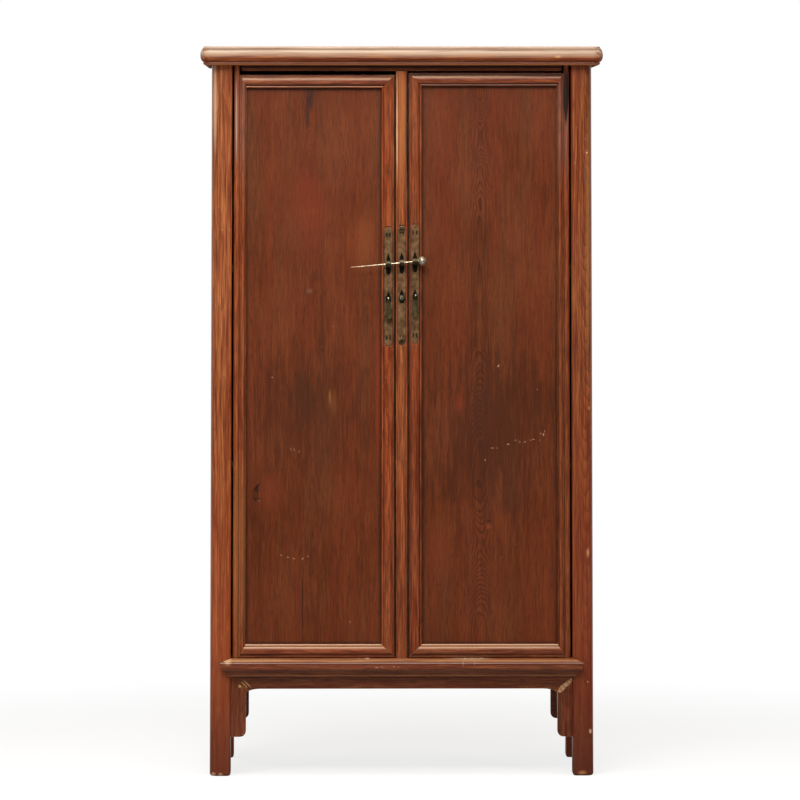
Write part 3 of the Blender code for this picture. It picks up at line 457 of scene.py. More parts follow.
    def _relief(self, tree: Tree, drawn: dict[str, Socket]) -> Socket:
        """Raises the grain a little over the slow marks of the plane.

        Args:
            tree: the material's tree.
            drawn: the patterns by name.

        Returns:
            The normal that the light sees.
        """
        grain = add(tree, "Math", {0: drawn["fibre"], 1: drawn["late"]}, operation="ADD")
        grain = add(
            tree, "Math", {0: drawn["pore"], 1: -self.PORE_DEPTH, 2: grain}, operation="MULTIPLY_ADD"
        )
        strength, height = self.GRAIN_RELIEF
        bump = add(tree, "Bump", {"Strength": strength, "Distance": height, "Height": grain})
        strength, height = self.PLANE_RELIEF
        return add(
            tree,
            "Bump",
            {"Strength": strength, "Distance": height, "Height": drawn["plane"], "Normal": bump},
        )

    def _layers(self, plank: Plank) -> list[tuple[str, float, float, float, str]]:
        """Lists what lies over the body colour.

        Args:
            plank: how the piece was cut and treated.

        Returns:
            For each layer: its pattern, where it starts and is full, its share and its colour.
        """
        streak = self.streak_show
        return [
            ("band", 0.50, 0.68, self.band_show, self.red),
            ("band", 0.48, 0.32, self.band_show, self.brown),
            ("patch", 0.52, 0.74, 0.6 * self.band_show, self.light),
            ("patch", 0.46, 0.28, 0.7 * self.band_show, self.dark),
            ("streak", 0.50, 0.70, 0.8 * streak, self.light),
            ("streak", 0.48, 0.30, 0.7 * streak, self.dark),
            ("fibre", 0.50, 0.66, 1.1 * streak, self.light),
            ("fibre", 0.48, 0.32, 1.1 * streak, self.dark),
            ("late", 0.0, 1.0, plank.figure * self.ring_show, self.dark),
            ("pore", 0.54, 0.68, 0.45, self.dark),
            ("speck", 0.75, 0.79, 0.6 * streak, self.worn),
            # Worn bare wood and a painted highlight on faces that look up.
            ("rubbed", 0.0, 1.0, plank.rub, self.worn),
            # Painted shade on faces that look down.
            ("under", *self.UNDERSIDE, 0.55, self.SOOT),
            # Grime and painted shade along a framed panel's edges.
            ("edge", -17 * MM, -8 * MM, plank.dirt_and_shade, self.SOOT),
            ("height", 1.10, 0.30, 0.7 * plank.grime, self.red),
            ("height", 0.34, 0.02, plank.grime, self.dark),
        ]

    def _rings(
        self, tree: Tree, plank: Plank, place: Socket, along: Socket, drawn: dict[str, Socket]
    ) -> Socket:
        """Draws the year rings as cut by the piece.

        Args:
            tree: the material's tree.
            plank: how the piece was cut.
            place: object coordinates.
            along: coordinates turned to the fibres.
            drawn: the patterns, of which sway and curl bend the rings.

        Returns:
            0 in early wood, rising to 1 at the end of each ring's late wood.
        """
        across = add(
            tree,
            "Mapping",
            {"Vector": along, "Location": (-plank.heart[0], -plank.heart[1], 0), "Scale": (1, 1, 0)},
        )
        radius = add(tree, "VectorMath", {0: across}, out="Value", operation="LENGTH")
        for key, reach in (("sway", self.SWAY_REACH), ("curl", self.CURL_REACH)):
            radius = add(
                tree, "Math", {0: drawn[key], 1: reach, 2: radius}, operation="MULTIPLY_ADD"
            )
        length = add(tree, "SeparateXYZ", {0: along}, out="Z")
        radius = add(tree, "Math", {0: length, 1: plank.lean, 2: radius}, operation="MULTIPLY_ADD")
        for eddy in plank.eddies:
            around = add(
                tree,
                "Mapping",
                {"Vector": place, "Location": eddy.at, "Scale": eddy.size},
                vector_type="TEXTURE",
            )
            away = add(tree, "VectorMath", {0: around}, out="Value", operation="LENGTH")
            hill = add(
                tree,
                "MapRange",
                {0: away, 1: 0.0, 2: self.EDDY_REACH, 3: eddy.rise, 4: 0.0},
                interpolation_type="SMOOTHERSTEP",
            )
            radius = add(tree, "Math", {0: radius, 1: hill}, operation="ADD")
        year = add(tree, "Math", {0: radius, 1: self.ring}, operation="DIVIDE")
        year = add(tree, "Math", {0: year}, operation="FRACT")
        late = add(tree, "Math", {0: year, 1: self.LATE_POWER}, operation="POWER")
        aside = add(tree, "Math", {0: add(tree, "SeparateXYZ", {0: across})}, operation="ABSOLUTE")
        column = add(
            tree,
            "MapRange",
            {0: aside, 1: 0.5 * plank.flame, 2: plank.flame, 3: 1.0, 4: self.QUIET_RINGS},
        )
        return add(tree, "Math", {0: late, 1: column}, operation="MULTIPLY")

    def make_worn(self) -> bpy.types.Material:
        """Makes the rubbed arris of this finish, where bare wood shows through in places.

        Returns:
            The material.
        """
        material, tree, end = new_material(f"{self.name}_worn_arris")
        place = add(tree, "TexCoord", out="Object")
        rub = add(tree, "TexNoise", {"Vector": place, "Scale": 1 / self.ARRIS_PATCH, "Detail": 4.0})
        start, full = self.ARRIS_SPAN
        rub = add(tree, "MapRange", {0: rub, 1: start, 2: full, 4: self.arris})
        colour = add(
            tree,
            "Mix",
            {"Factor": rub, 6: linear(self.body), 7: linear(self.worn)},
            out=2,
            data_type="RGBA",
        )
        rough = add(tree, "MapRange", {0: rub, 3: self.gloss[0], 4: self.gloss[1]})
        shader = add(
            tree, "BsdfPrincipled", {"Base Color": colour, "Roughness": rough, "IOR": self.IOR}
        )
        tree.links.new(shader, end.inputs["Surface"])
        return material


@dataclass(frozen=True)
class Brass:
    """Sheet brass, hammered and cut by hand, gone brown with age.

    The eye sees a dull brown metal with darker grime in slow clouds, black where a fitting lies
    on its plate, and a little yellow where fingers kept it clean.

    Attributes:
        name: what the finish is called.
        clean: the rubbed metal.
        brown: the aged metal.
        grime: the darkest deposits.
        metal: how metallic the surface is.
        gloss: roughness of the rubbed and the grimy metal.
        soot: how strongly its back edge is blackened.
        cloud: the size of its clouds, in metres.
        spread: where the clouds turn to grime and to clean metal.
        rim: how strongly grime darkens its outline.
    """

    name: str
    clean: str
    brown: str
    grime: str
    metal: float = 0.8
    gloss: tuple[float, float] = (0.38, 0.62)
    soot: float = 0.0
    cloud: float = 18 * MM
    spread: tuple[float, float] = (0.2, 0.82)
    rim: float = 0.0

    PIT = 1.6 * MM
    PIT_RELIEF = (0.3, 0.2 * MM)
    SOOT = "#100f0c"
    # Where the soot starts and is full: in front of the back edge, and inside the outline.
    BACK_SOOT = (3.2 * MM, 1.8 * MM)
    RIM_SOOT = (-2.6 * MM, -0.4 * MM)

    def make(self, piece: str, marks: tuple[Mark, ...] = ()) -> bpy.types.Material:
        """Makes the finish for one piece.

        Args:
            piece: the piece's name.
            marks: what time left on it, with painted highlights and painted shade.

        Returns:
            The material.
        """
        material, tree, end = new_material(f"{self.name}_{piece}")
        low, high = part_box(piece)
        place = add(tree, "TexCoord", out="Object")
        cloud = add(
            tree,
            "TexNoise",
            {"Vector": place, "Scale": 1 / self.cloud, "Detail": 5.0, "Roughness": 0.6},
        )
        pit = add(tree, "TexNoise", {"Vector": place, "Scale": 1 / self.PIT, "Detail": 2.0})
        colour = add(tree, "ValToRGB", {"Fac": cloud})
        ramp = colour.node.color_ramp
        ramp.elements[0].position, ramp.elements[0].color = self.spread[0], linear(self.grime)
        ramp.elements[1].position, ramp.elements[1].color = self.spread[1], linear(self.clean)
        ramp.elements.new(0.5).color = linear(self.brown)
        depth = add(tree, "SeparateXYZ", {0: place}, out="Y")
        start, full = (high.y - inset for inset in self.BACK_SOOT)
        black = add(tree, "MapRange", {0: depth, 1: start, 2: full, 4: self.soot})
        border = outline_distance(tree, place, low, high)
        start, full = self.RIM_SOOT
        border = add(tree, "MapRange", {0: border, 1: start, 2: full, 4: self.rim})
        black = add(tree, "Math", {0: black, 1: border}, operation="MAXIMUM")
        colour = add(
            tree, "Mix", {"Factor": black, 6: colour, 7: linear(self.SOOT)}, out=2, data_type="RGBA"
        )
        colour = lay_marks(tree, marks, place, ([pit], [cloud]), colour)
        start, full = NOISE_SPAN
        clean, grimy = self.gloss
        rough = add(tree, "MapRange", {0: cloud, 1: start, 2: full, 3: grimy, 4: clean})
        strength, height = self.PIT_RELIEF
        bump = add(tree, "Bump", {"Strength": strength, "Distance": height, "Height": pit})
        shader = add(
            tree,
            "BsdfPrincipled",
            {"Base Color": colour, "Metallic": self.metal, "Roughness": rough, "Normal": bump},
        )
        tree.links.new(shader, end.inputs["Surface"])
        return material


# Posts: lacquer that hands rubbed thin, lighter than the rest, with long fibres in it.
POST_ELM = Elm(
    "post_elm",
    body="#924823",
    light="#b8713f",
    dark="#54200a",
    red="#93380f",
    brown="#7c4722",
    worn="#c89a72",
    ring=6.0 * MM,
    ring_show=0.45,
    streak_show=0.75,
    stretch=1.9,
)
# Posts whose lacquer kept more of its red.
RED_POST_ELM = replace(
    POST_ELM, name="red_post_elm", body="#8c3f1c", light="#b06735", red="#8a300f", brown="#783d20"
)
# The top's moulding: dull, and pale on its upward slopes, where dusting wore the lacquer away and where its
# highlight is painted.
TOP_ELM = replace(
    RED_POST_ELM,
    name="top_elm",
    worn="#c3ae94",
    gloss=(0.55, 0.7),
    specular=0.25,
    ring_show=0.3,
    arris=0.1,
)
# Frames, rails and aprons: thicker lacquer, darker and with more sheen.
FRAME_ELM = Elm(
    "frame_elm",
    body="#7a381a",
    light="#9c5730",
    dark="#3f1606",
    red="#832d0c",
    brown="#68391b",
    worn="#b98a5c",
    ring=5.0 * MM,
    streak_show=0.55,
    stretch=1.3,
    gloss=(0.26, 0.38),
)
# The doors' rails: as the frames, but less shiny.
RAIL_ELM = replace(FRAME_ELM, name="rail_elm", gloss=(0.36, 0.48))
# Panels: the darkest lacquer, dull, with broad rings and few streaks.
PANEL_ELM = Elm(
    "panel_elm",
    body="#632a0b",
    light="#7e3e17",
    dark="#3c1707",
    red="#6c290a",
    brown="#5a2f12",
    worn="#a97d5e",
    ring=6.0 * MM,
    ring_show=0.72,
    streak_show=0.3,
    band_show=0.55,
    gloss=(0.42, 0.58),
    specular=0.25,
)
# Inside: bare elm, grey-brown and dry.
INSIDE_ELM = Elm(
    "inside_elm",
    body="#8d6a4c",
    light="#a58360",
    dark="#5f4630",
    red="#8b624a",
    brown="#7b5f49",
    worn="#b59673",
    gloss=(0.6, 0.8),
    specular=0.3,
)
# Plates: brown sheet, darker along the outline.
PLATE_BRASS = Brass(
    "plate_brass",
    clean="#b58a66",
    brown="#82603f",
    grime="#4e3a26",
    spread=(0.3, 0.72),
    rim=0.55,
)
# Pendants: the same sheet, darker and more olive.
PENDANT_BRASS = replace(
    PLATE_BRASS, name="pendant_brass", clean="#7a6744", brown="#54472e", grime="#352c1c"
)
# Staples, eyes and boss: nearly black, most of all where they meet their plate.
FITTING_BRASS = Brass(
    "fitting_brass",
    clean="#7d6c4c",
    brown="#463c29",
    grime="#231e15",
    gloss=(0.3, 0.55),
    soot=0.85,
)
# Studs: a lighter brown than the other fittings.
STUD_BRASS = replace(
    FITTING_BRASS, name="stud_brass", clean="#8f7350", brown="#5f4a32", grime="#3a2e20", soot=0.0
)
# The pin: a pale brass that hands kept bright, with small dark specks.
PIN_METAL = Brass(
    "pin_metal",
    clean="#d6c9b0",
    brown="#a8967a",
    grime="#65533e",
    gloss=(0.28, 0.45),
    cloud=3.5 * MM,
    spread=(0.36, 0.62),
)

# Where the front of the head rail and of the other case pieces lies, and half the depth of marks there.
FACE = -0.21
FRONT = -0.235
DEPTH = 0.05
# Where the top's moulded edge lies, and half the depth of marks there.
TOP_FACE = -0.25
TOP_SKIN = 0.03
# Where the fronts of the doors lie. Marks stay within SKIN of them, so that none shows inside.
PANEL_FACE = -0.2105
STILE_FACE = -0.216
SKIN = 0.012
# Half the length of a mark that runs the whole length of its piece.
WHOLE = 3.0
# The middle of the pin's knob, with half the depth of its marks, and the middle of the boss.
KNOB = (0.053, -0.26, 1.309)
KNOB_SKIN = 0.03
BOSS = (0.0, -0.24, 1.219)

CRACK = "#1c0b06"
STAIN = "#2a1914"
SCUFF = "#b08a72"
CHIP = "#b8925e"
# Painted shade for the dark gaps beside the centre post.
PAINTED_GAP_SHADE = "#0e0805"

PIN_MARKS = (
    Mark((-0.129, -0.23, 1.298), (0.030, DEPTH, 0.012), "#9c6a52", 0.8),
    Mark((0.052, -0.26, 1.309), (0.0120, KNOB_SKIN, 0.0120), "#ece6d8", 0.8, 1.0),
    Mark(KNOB, (0.0074, KNOB_SKIN, 0.0074), "#7c7060", 0.7, 0.3, 0.0, 0.7),
    Mark(KNOB, (0.0052, KNOB_SKIN, 0.0052), "#ece6d8", 0.85, 0.3, 0.0, 0.7),
)
# Painted highlights on the two pull eyes.
PULL_GLINTS = tuple(
    Mark((x, -0.24, z), (0.0026, DEPTH, 0.0030), "#f4efe4", 1.0, 0.2, 0.0, 0.6)
    for x, z in ((-0.0340, 1.2185), (0.0355, 1.2255))
)
BOSS_RINGS = (
    Mark(BOSS, (0.0056, DEPTH, 0.0056), "#b8b09c", 0.8, 0.2, 0.0, 0.7),
    Mark(BOSS, (0.0034, DEPTH, 0.0034), "#2a241a", 0.9, 0.2, 0.0, 0.7),
)

TOP_RAIL = Plank(
    Grain.ACROSS,
    level=0.85,
    # Pale on the moulding's upper slope: worn bare wood, and a painted highlight.
    rub=0.84,
    rub_from=(-0.3, 0.3),
    marks=(
        # A painted shade line along the upper edge, which also dims the lamps' highlight there.
        Mark((0.0, TOP_FACE, 1.8482), (WHOLE, TOP_SKIN, 0.0052), "#5e3c26", 0.78, 0.5, 0.0, 0.3),
        # Painted shade in the quirk above the bead.
        Mark((0.0, TOP_FACE, 1.8142), (WHOLE, TOP_SKIN, 0.0036), "#3c1a0c", 0.85, 0.3, 0.0, 0.6),
        # A painted highlight on the bead.
        Mark((0.0, TOP_FACE, 1.8089), (WHOLE, TOP_SKIN, 0.0024), "#b4744a", 0.7, 0.5, 0.0, 0.5),
        Mark((0.3950, FRONT, 1.8296), (0.0120, DEPTH, 0.0050), "#d8b070", 0.5, 0.9),
    ),
)
LEFT_FIGURE = Plank(
    Grain.UPRIGHT,
    heart=(-0.007, 0.012),
    lean=0.02,
    level=0.87,
    dirt_and_shade=0.7,
    figure=0.5,
    flame=0.045,
    eddies=(Eddy((-0.244, PANEL_FACE, 1.594), (0.6, 0.6, 0.030), -0.024),),
    marks=(
        Mark((-0.240, PANEL_FACE, 0.930), (0.220, SKIN, 0.220), "#3a1a0a", 0.35, 1.2),
        Mark((-0.2335, PANEL_FACE, 1.733), (0.0150, SKIN, 0.036), STAIN, 0.6, 1.6),
        Mark((-0.2350, PANEL_FACE, 1.697), (0.0120, SKIN, 0.034), STAIN, 0.6, 1.6),
        Mark((-0.2370, PANEL_FACE, 1.666), (0.0070, SKIN, 0.026), STAIN, 0.55, 1.6),
        Mark((-0.240, PANEL_FACE, 1.440), (0.070, SKIN, 0.130), "#80301a", 0.3, 1.6),
        Mark((-0.095, PANEL_FACE, 1.355), (0.045, SKIN, 0.090), "#8f4a26", 0.3, 1.8),
        Mark((-0.222, PANEL_FACE, 1.270), (0.024, SKIN, 0.018), "#351b10", 0.35),
        Mark((-0.234, PANEL_FACE, 1.236), (0.012, SKIN, 0.010), "#82604a", 0.3),
        Mark((-0.060, PANEL_FACE, 1.000), (0.008, SKIN, 0.280), "#8e2c16", 0.35),
        Mark((-0.245, PANEL_FACE, 0.965), (0.040, SKIN, 0.100), "#38200f", 0.4, 1.8),
        Mark((-0.1825, PANEL_FACE, 0.968), (0.0035, SKIN, 0.026), "#9a6a35", 0.45, 1.0),
        Mark((-0.176, PANEL_FACE, 0.950), (0.014, SKIN, 0.040), "#7e4a24", 0.3, 1.6),
        Mark((-0.2823, PANEL_FACE, 0.8335), (0.0010, SKIN, 0.0065), SCUFF, 0.6, 0.8, -0.4),
        Mark((-0.2734, PANEL_FACE, 0.8320), (0.0010, SKIN, 0.0060), SCUFF, 0.6, 0.8, -0.5),
        Mark((-0.2606, PANEL_FACE, 0.8277), (0.0010, SKIN, 0.0065), SCUFF, 0.5, 0.8, 0.5),
        Mark((-0.380, PANEL_FACE, 1.071), (0.003, SKIN, 0.004), "#140a07", 0.8, 0.4),
        Mark((-0.331, PANEL_FACE, 0.727), (0.030, SKIN, 0.050), "#7a321c", 0.28, 1.8),
        Mark((-0.371, PANEL_FACE, 0.722), (0.010, SKIN, 0.024), "#2c140b", 0.4),
        Mark((-0.3692, PANEL_FACE, 0.7359), (0.0165, SKIN, 0.0040), CRACK, 0.95, 0.3, -0.84),
        Mark((-0.3685, PANEL_FACE, 0.7278), (0.0030, SKIN, 0.0070), CRACK, 0.85, 0.5, -0.5),
        Mark((-0.3726, PANEL_FACE, 0.7056), (0.0090, SKIN, 0.0036), CRACK, 0.95, 0.4, 0.75),
        Mark((-0.3621, PANEL_FACE, 0.7064), (0.0090, SKIN, 0.0014), CRACK, 0.8, 0.3, 0.22),
        Mark((-0.3626, PANEL_FACE, 0.7024), (0.0050, SKIN, 0.0013), "#9c6a52", 0.7, 0.4, 0.15),
        *(
            Mark((x, PANEL_FACE, z), (reach, SKIN, 0.0014), "#b89078", 0.65, 1.0, turn)
            for x, z, reach, turn in (
                (-0.3065, 0.5630, 0.0042, 0.6),
                (-0.2899, 0.5574, 0.0050, 0.1),
                (-0.2746, 0.5543, 0.0046, 0.25),
                (-0.2517, 0.5543, 0.0055, -0.75),
                (-0.2389, 0.5600, 0.0030, -0.1),
            )
        ),
        Mark((-0.253, PANEL_FACE, 0.440), (0.0019, SKIN, 0.105), "#1c0d08", 0.75, 0.3, 0.0, 0.5),
        Mark((-0.132, PANEL_FACE, 0.393), (0.003, SKIN, 0.002), "#b4937c", 0.5),
        Mark((-0.329, PANEL_FACE, 1.016), (0.0025, SKIN, 0.0025), "#b4937c", 0.5, 0.4),
    ),
)
# The row of scuffs on the right panel: place across and up, and half sizes, in metres.
SCUFFS = (
    (0.2124, 0.8054, 0.0022, 0.0030),
    (0.2313, 0.8360, 0.0052, 0.0014),
    (0.2423, 0.8360, 0.0018, 0.0016),
    (0.2711, 0.8457, 0.0042, 0.0024),
    (0.2894, 0.8559, 0.0024, 0.0022),
    (0.2961, 0.8559, 0.0014, 0.0018),
    (0.3009, 0.8511, 0.0022, 0.0026),
    (0.3137, 0.8518, 0.0032, 0.0022),
    (0.3284, 0.8559, 0.0020, 0.0016),
    (0.3356, 0.8579, 0.0036, 0.0014),
    (0.3516, 0.8559, 0.0014, 0.0020),
    (0.3539, 0.8730, 0.0018, 0.0020),
    (0.3613, 0.8702, 0.0030, 0.0048),
    (0.3639, 0.8781, 0.0013, 0.0040),
)
RIGHT_FIGURE = Plank(
    Grain.UPRIGHT,
    heart=(-0.0255, 0.010),
    lean=0.03,
    level=0.86,
    dirt_and_shade=0.6,
    figure=1.25,
    flame=0.036,
    eddies=(
        Eddy((0.205, PANEL_FACE, 1.624), (0.6, 0.6, 0.056), 0.046),
        Eddy((0.205, PANEL_FACE, 1.515), (0.6, 0.6, 0.026), 0.014),
        Eddy((0.205, PANEL_FACE, 0.780), (0.6, 0.6, 0.157), -0.085),
        Eddy((0.205, PANEL_FACE, 0.385), (0.6, 0.6, 0.126), -0.115),
    ),
    marks=(
        Mark((0.230, PANEL_FACE, 0.860), (0.220, SKIN, 0.300), "#3a1a0a", 0.55, 1.2),
        Mark((0.148, PANEL_FACE, 0.950), (0.017, SKIN, 0.036), "#7e2e18", 0.4, 1.2),
        *(
            Mark((x, PANEL_FACE, z), (wide, SKIN, high), SCUFF, 0.75, 1.0)
            for x, z, wide, high in SCUFFS
        ),
        Mark((0.222, PANEL_FACE, 0.650), (0.012, SKIN, 0.0040), "#241009", 0.55),
        Mark((0.221, PANEL_FACE, 0.636), (0.007, SKIN, 0.0090), "#84401e", 0.5),
        Mark((0.246, PANEL_FACE, 1.045), (0.0026, SKIN, 0.0050), "#b4866a", 0.8, 0.4, 0.5),
        Mark((0.292, PANEL_FACE, 0.583), (0.0030, SKIN, 0.0030), "#140a07", 0.8, 0.4),
        Mark((0.345, PANEL_FACE, 0.985), (0.0022, SKIN, 0.0022), "#a9745c", 0.7, 0.4),
        Mark((0.098, PANEL_FACE, 0.570), (0.040, SKIN, 0.1100), "#74301a", 0.3, 1.6),
    ),
)
LEFT_OUTER = Plank(
    Grain.UPRIGHT,
    level=1.1,
    marks=(
        # A painted highlight on the outer stile's bead.
        Mark((-0.419, STILE_FACE, 1.660), (0.003, SKIN, 0.130), "#b39a86", 0.6, 0.6),
        Mark((-0.405, STILE_FACE, 0.560), (0.060, SKIN, 0.360), "#a86a3c", 0.4, 0.6),
        Mark((-0.400, STILE_FACE, 1.660), (0.050, SKIN, 0.200), "#7a6a60", 0.2, 0.8),
    ),
)


def meeting_stile(side: int, level: float, plate_ends: tuple[float, float], *more: Mark) -> Plank:
    """Cuts a meeting stile, with painted shade along its gap to the centre post and under the ends of its
    plate, where the pierced curls show through.

    Args:
        side: -1 on the left door, 1 on the right one.
        level: how light or dark the piece came out.
        plate_ends: how high the ends of the plate's seat are, in metres.
        more: other marks on it.

    Returns:
        The plank.
    """
    # Painted shade along the gap by the centre post.
    edge = Mark((side * 0.0160, STILE_FACE, 1.05), (0.005, SKIN, WHOLE), PAINTED_GAP_SHADE, 0.95, 0.3, 0.0, 0.6)
    # Painted shade under the plate's ends, seen through its pierced curls.
    seat = Mark((side * 0.0337, STILE_FACE, 0.0), (0.010, SKIN, 0.017), "#0b0705", 1.0, 0.1, 0.0, 0.9)
    ends = (replace(seat, at=(seat.at[0], seat.at[1], height)) for height in plate_ends)
    return Plank(Grain.UPRIGHT, level=level, marks=(edge, *ends, *more))


LEFT_MEETING = meeting_stile(-1, 1.15, (1.1160, 1.3790))
RIGHT_OUTER = Plank(
    Grain.UPRIGHT,
    level=0.88,
    marks=(
        Mark((0.400, STILE_FACE, 1.660), (0.050, SKIN, 0.200), "#7a6a60", 0.2, 0.8),
        Mark((0.4170, STILE_FACE, 1.735), (0.0075, SKIN, 0.085), "#16110f", 0.95, 0.9, 0.0, 0.6),
        Mark((0.386, STILE_FACE, 1.690), (0.0030, SKIN, 0.030), "#b59a86", 0.4, 1.6),
    ),
)
RIGHT_MEETING = meeting_stile(
    1,
    1.0,
    (1.1220, 1.3850),
    Mark((0.0450, STILE_FACE, 0.700), (0.060, SKIN, 0.420), "#4a1c0c", 0.45, 0.8),
)
LEFT_POST = Plank(
    Grain.UPRIGHT,
    heart=(0.005, 0.03),
    level=0.88,
    grime=0.75,
    marks=(
        # A painted highlight along the post's outer rounding.
        Mark((-0.473, FRONT, 1.720), (0.006, DEPTH, 0.160), "#c4a182", 0.65, 0.5),
        Mark((-0.480, FRONT, 0.005), (0.009, DEPTH, 0.007), "#b98d6a", 0.75, 1.2),
        Mark((-0.462, FRONT, 0.004), (0.008, DEPTH, 0.006), "#b98d6a", 0.7, 1.2),
    ),
)
RIGHT_POST = Plank(
    Grain.UPRIGHT,
    heart=(0.0095, -0.012),
    lean=-0.14,
    level=0.7,
    grime=0.75,
    figure=1.4,
    flame=0.022,
    marks=(
        # A painted highlight along the post's outer rounding.
        Mark((0.4730, FRONT, 1.360), (0.008, DEPTH, 0.420), "#a8743c", 0.4),
        Mark((0.4700, FRONT, 1.683), (0.003, DEPTH, 0.008), "#2a120a", 0.6),
        Mark((0.4697, FRONT, 1.587), (0.0024, DEPTH, 0.002), "#ecd8b4", 0.95, 0.3),
        Mark((0.4650, FRONT, 1.530), (0.004, DEPTH, 0.040), "#5a4038", 0.5),
        Mark((0.4765, FRONT, 0.938), (0.005, DEPTH, 0.008), "#b8753f", 0.6),
        Mark((0.4740, FRONT, 0.570), (0.005, DEPTH, 0.016), "#c08a5a", 0.6),
        Mark((0.4738, FRONT, 0.2405), (0.0022, DEPTH, 0.0022), "#c89a7c", 0.9, 0.3),
        Mark((0.4810, FRONT, 0.114), (0.005, DEPTH, 0.008), "#c8a288", 0.85, 0.6),
        Mark((0.4600, FRONT, 0.008), (0.013, DEPTH, 0.008), "#a8683c", 0.75, 1.0),
    ),
)
CENTRE_POST = Plank(
    Grain.UPRIGHT,
    heart=(0.01, 0.03),
    level=0.84,
    marks=(
        Mark((0.0, FRONT, 1.690), (0.080, DEPTH, 0.280), "#bb7440", 0.35, 0.8),
        # A painted highlight on the left bead.
        Mark((-0.0115, FRONT, 1.640), (0.0017, DEPTH, 0.170), "#e4bc96", 0.75, 0.9),
        # Painted shade in the gap at the right edge.
        Mark((0.0135, FRONT, 1.650), (0.0036, DEPTH, 0.260), PAINTED_GAP_SHADE, 0.95, 0.3, 0.0, 0.6),
        # Painted shade down both sides of the lower post.
        Mark((0.0130, FRONT, 0.480), (0.0032, DEPTH, 0.300), "#34140a", 0.7, 0.4),
        Mark((-0.0130, FRONT, 0.480), (0.0030, DEPTH, 0.300), "#34140a", 0.6, 0.4),
    ),
)
HEAD_RAIL = Plank(
    Grain.ACROSS,
    # Darkened as painted shade: the rail lies in the top's shadow.
    level=0.7,
    marks=(
        # A painted shadow: the dark gap above the left door.
        Mark((-0.22, FACE, 1.7900), (0.30, DEPTH, 0.0055), "#080504", 1.0, 0.2, 0.0, 0.6),
        # A painted shadow line under the top.
        Mark((0.0, FACE, 1.8040), (WHOLE, DEPTH, 0.0036), "#100604", 0.85, 0.3, 0.0, 0.6),
    ),
)
DOOR_TOP_RAIL = Plank(
    Grain.ACROSS,
    # Pale on upward slopes: worn bare wood, and a painted highlight.
    rub=0.55,
    rub_from=(0.05, 0.55),
    marks=(
        # A painted shadow along the top edge, under the case's top.
        Mark((0.0, STILE_FACE, 1.7850), (WHOLE, SKIN, 0.0052), "#140b07", 0.7, 0.3, 0.0, 0.5),
        # Painted shade on the inner bead, dimming its highlight.
        Mark((0.0, STILE_FACE, 1.7594), (WHOLE, SKIN, 0.0030), "#3c1c10", 0.7, 0.3, 0.0, 0.5),
    ),
)
DOOR_BOTTOM_RAIL = replace(
    DOOR_TOP_RAIL,
    # A painted highlight along the bottom rail's upper bead.
    marks=(Mark((0.0, STILE_FACE, 0.3350), (WHOLE, SKIN, 0.0085), "#c49674", 0.62, 0.5),),
)
SILL = Plank(
    Grain.ACROSS,
    # Pale on its top: worn bare wood, and a painted highlight.
    rub=0.9,
    marks=(
        # Painted shade on the lip's lower slope.
        Mark((0.0, FRONT, 0.2900), (WHOLE, DEPTH, 0.0056), "#5a2410", 0.9, 0.3, 0.0, 0.5),
        # Painted shade in the cove.
        Mark((0.0, FRONT, 0.2715), (WHOLE, DEPTH, 0.0060), "#3a1a0c", 0.4, 0.4),
        # Painted shade over the lower lip's arris.
        Mark((0.0, FRONT, 0.2570), (WHOLE, DEPTH, 0.0036), "#4a2412", 0.65, 0.3, 0.0, 0.5),
        Mark((0.1720, FRONT, 0.301), (0.060, DEPTH, 0.005), "#d0b898", 0.3, 1.2),
        Mark((0.1560, FRONT, 0.289), (0.0013, DEPTH, 0.011), "#c8a888", 0.4, 1.0),
        Mark((0.1850, FRONT, 0.290), (0.0012, DEPTH, 0.009), "#c8a888", 0.4, 1.0),
        *(
            Mark((x, FRONT, z), (reach, DEPTH, 0.0017), "#dcc8b0", 0.7, 1.4)
            for x, z, reach in (
                (0.138, 0.3025, 0.0060),
                (0.161, 0.3010, 0.0034),
                (0.179, 0.3020, 0.0080),
                (0.203, 0.3015, 0.0044),
                (-0.109, 0.3020, 0.0050),
                (-0.088, 0.3010, 0.0070),
                (-0.064, 0.2795, 0.0062),
                (-0.050, 0.2803, 0.0024),
                (-0.020, 0.2812, 0.0036),
                (-0.008, 0.2800, 0.0018),
            )
        ),
        Mark((-0.4430, FRONT, 0.296), (0.014, DEPTH, 0.014), "#c49a74", 0.65),
        Mark((0.4300, FRONT, 0.304), (0.012, DEPTH, 0.003), "#d8c4ac", 0.5),
    ),
)
MITRE_CHIPS = (
    *(
        Mark((x, FRONT, x - 0.1859), (0.0150, DEPTH, 0.0066), "#a8805a", 0.85, 0.6, -0.785, 0.85)
        for x in (0.4085, 0.4240)
    ),
    *(
        Mark((x, FRONT, x - 0.1859), (0.0013, DEPTH, 0.0090), "#54290f", 0.9, 0.2, -0.6, 0.5)
        for x in (0.4060, 0.4140, 0.4235, 0.4300)
    ),
    Mark((-0.3937, FRONT, 0.2359), (0.0180, DEPTH, 0.0016), CHIP, 0.85, 0.4, 0.785, 0.5),
    Mark((-0.4009, FRONT, 0.2333), (0.0150, DEPTH, 0.0016), CHIP, 0.85, 0.4, 0.785, 0.5),
    Mark((-0.4123, FRONT, 0.2295), (0.0060, DEPTH, 0.0055), CHIP, 0.8, 0.5, 0.785),
)
APRON = Plank(
    Grain.ACROSS,
    # Darker for dirt, and as painted shade under the sill's lip.
    level=0.58,
    marks=(Mark((0.0290, FRONT, 0.240), (0.018, DEPTH, 0.008), "#1e0f0a", 0.6), *MITRE_CHIPS),
)


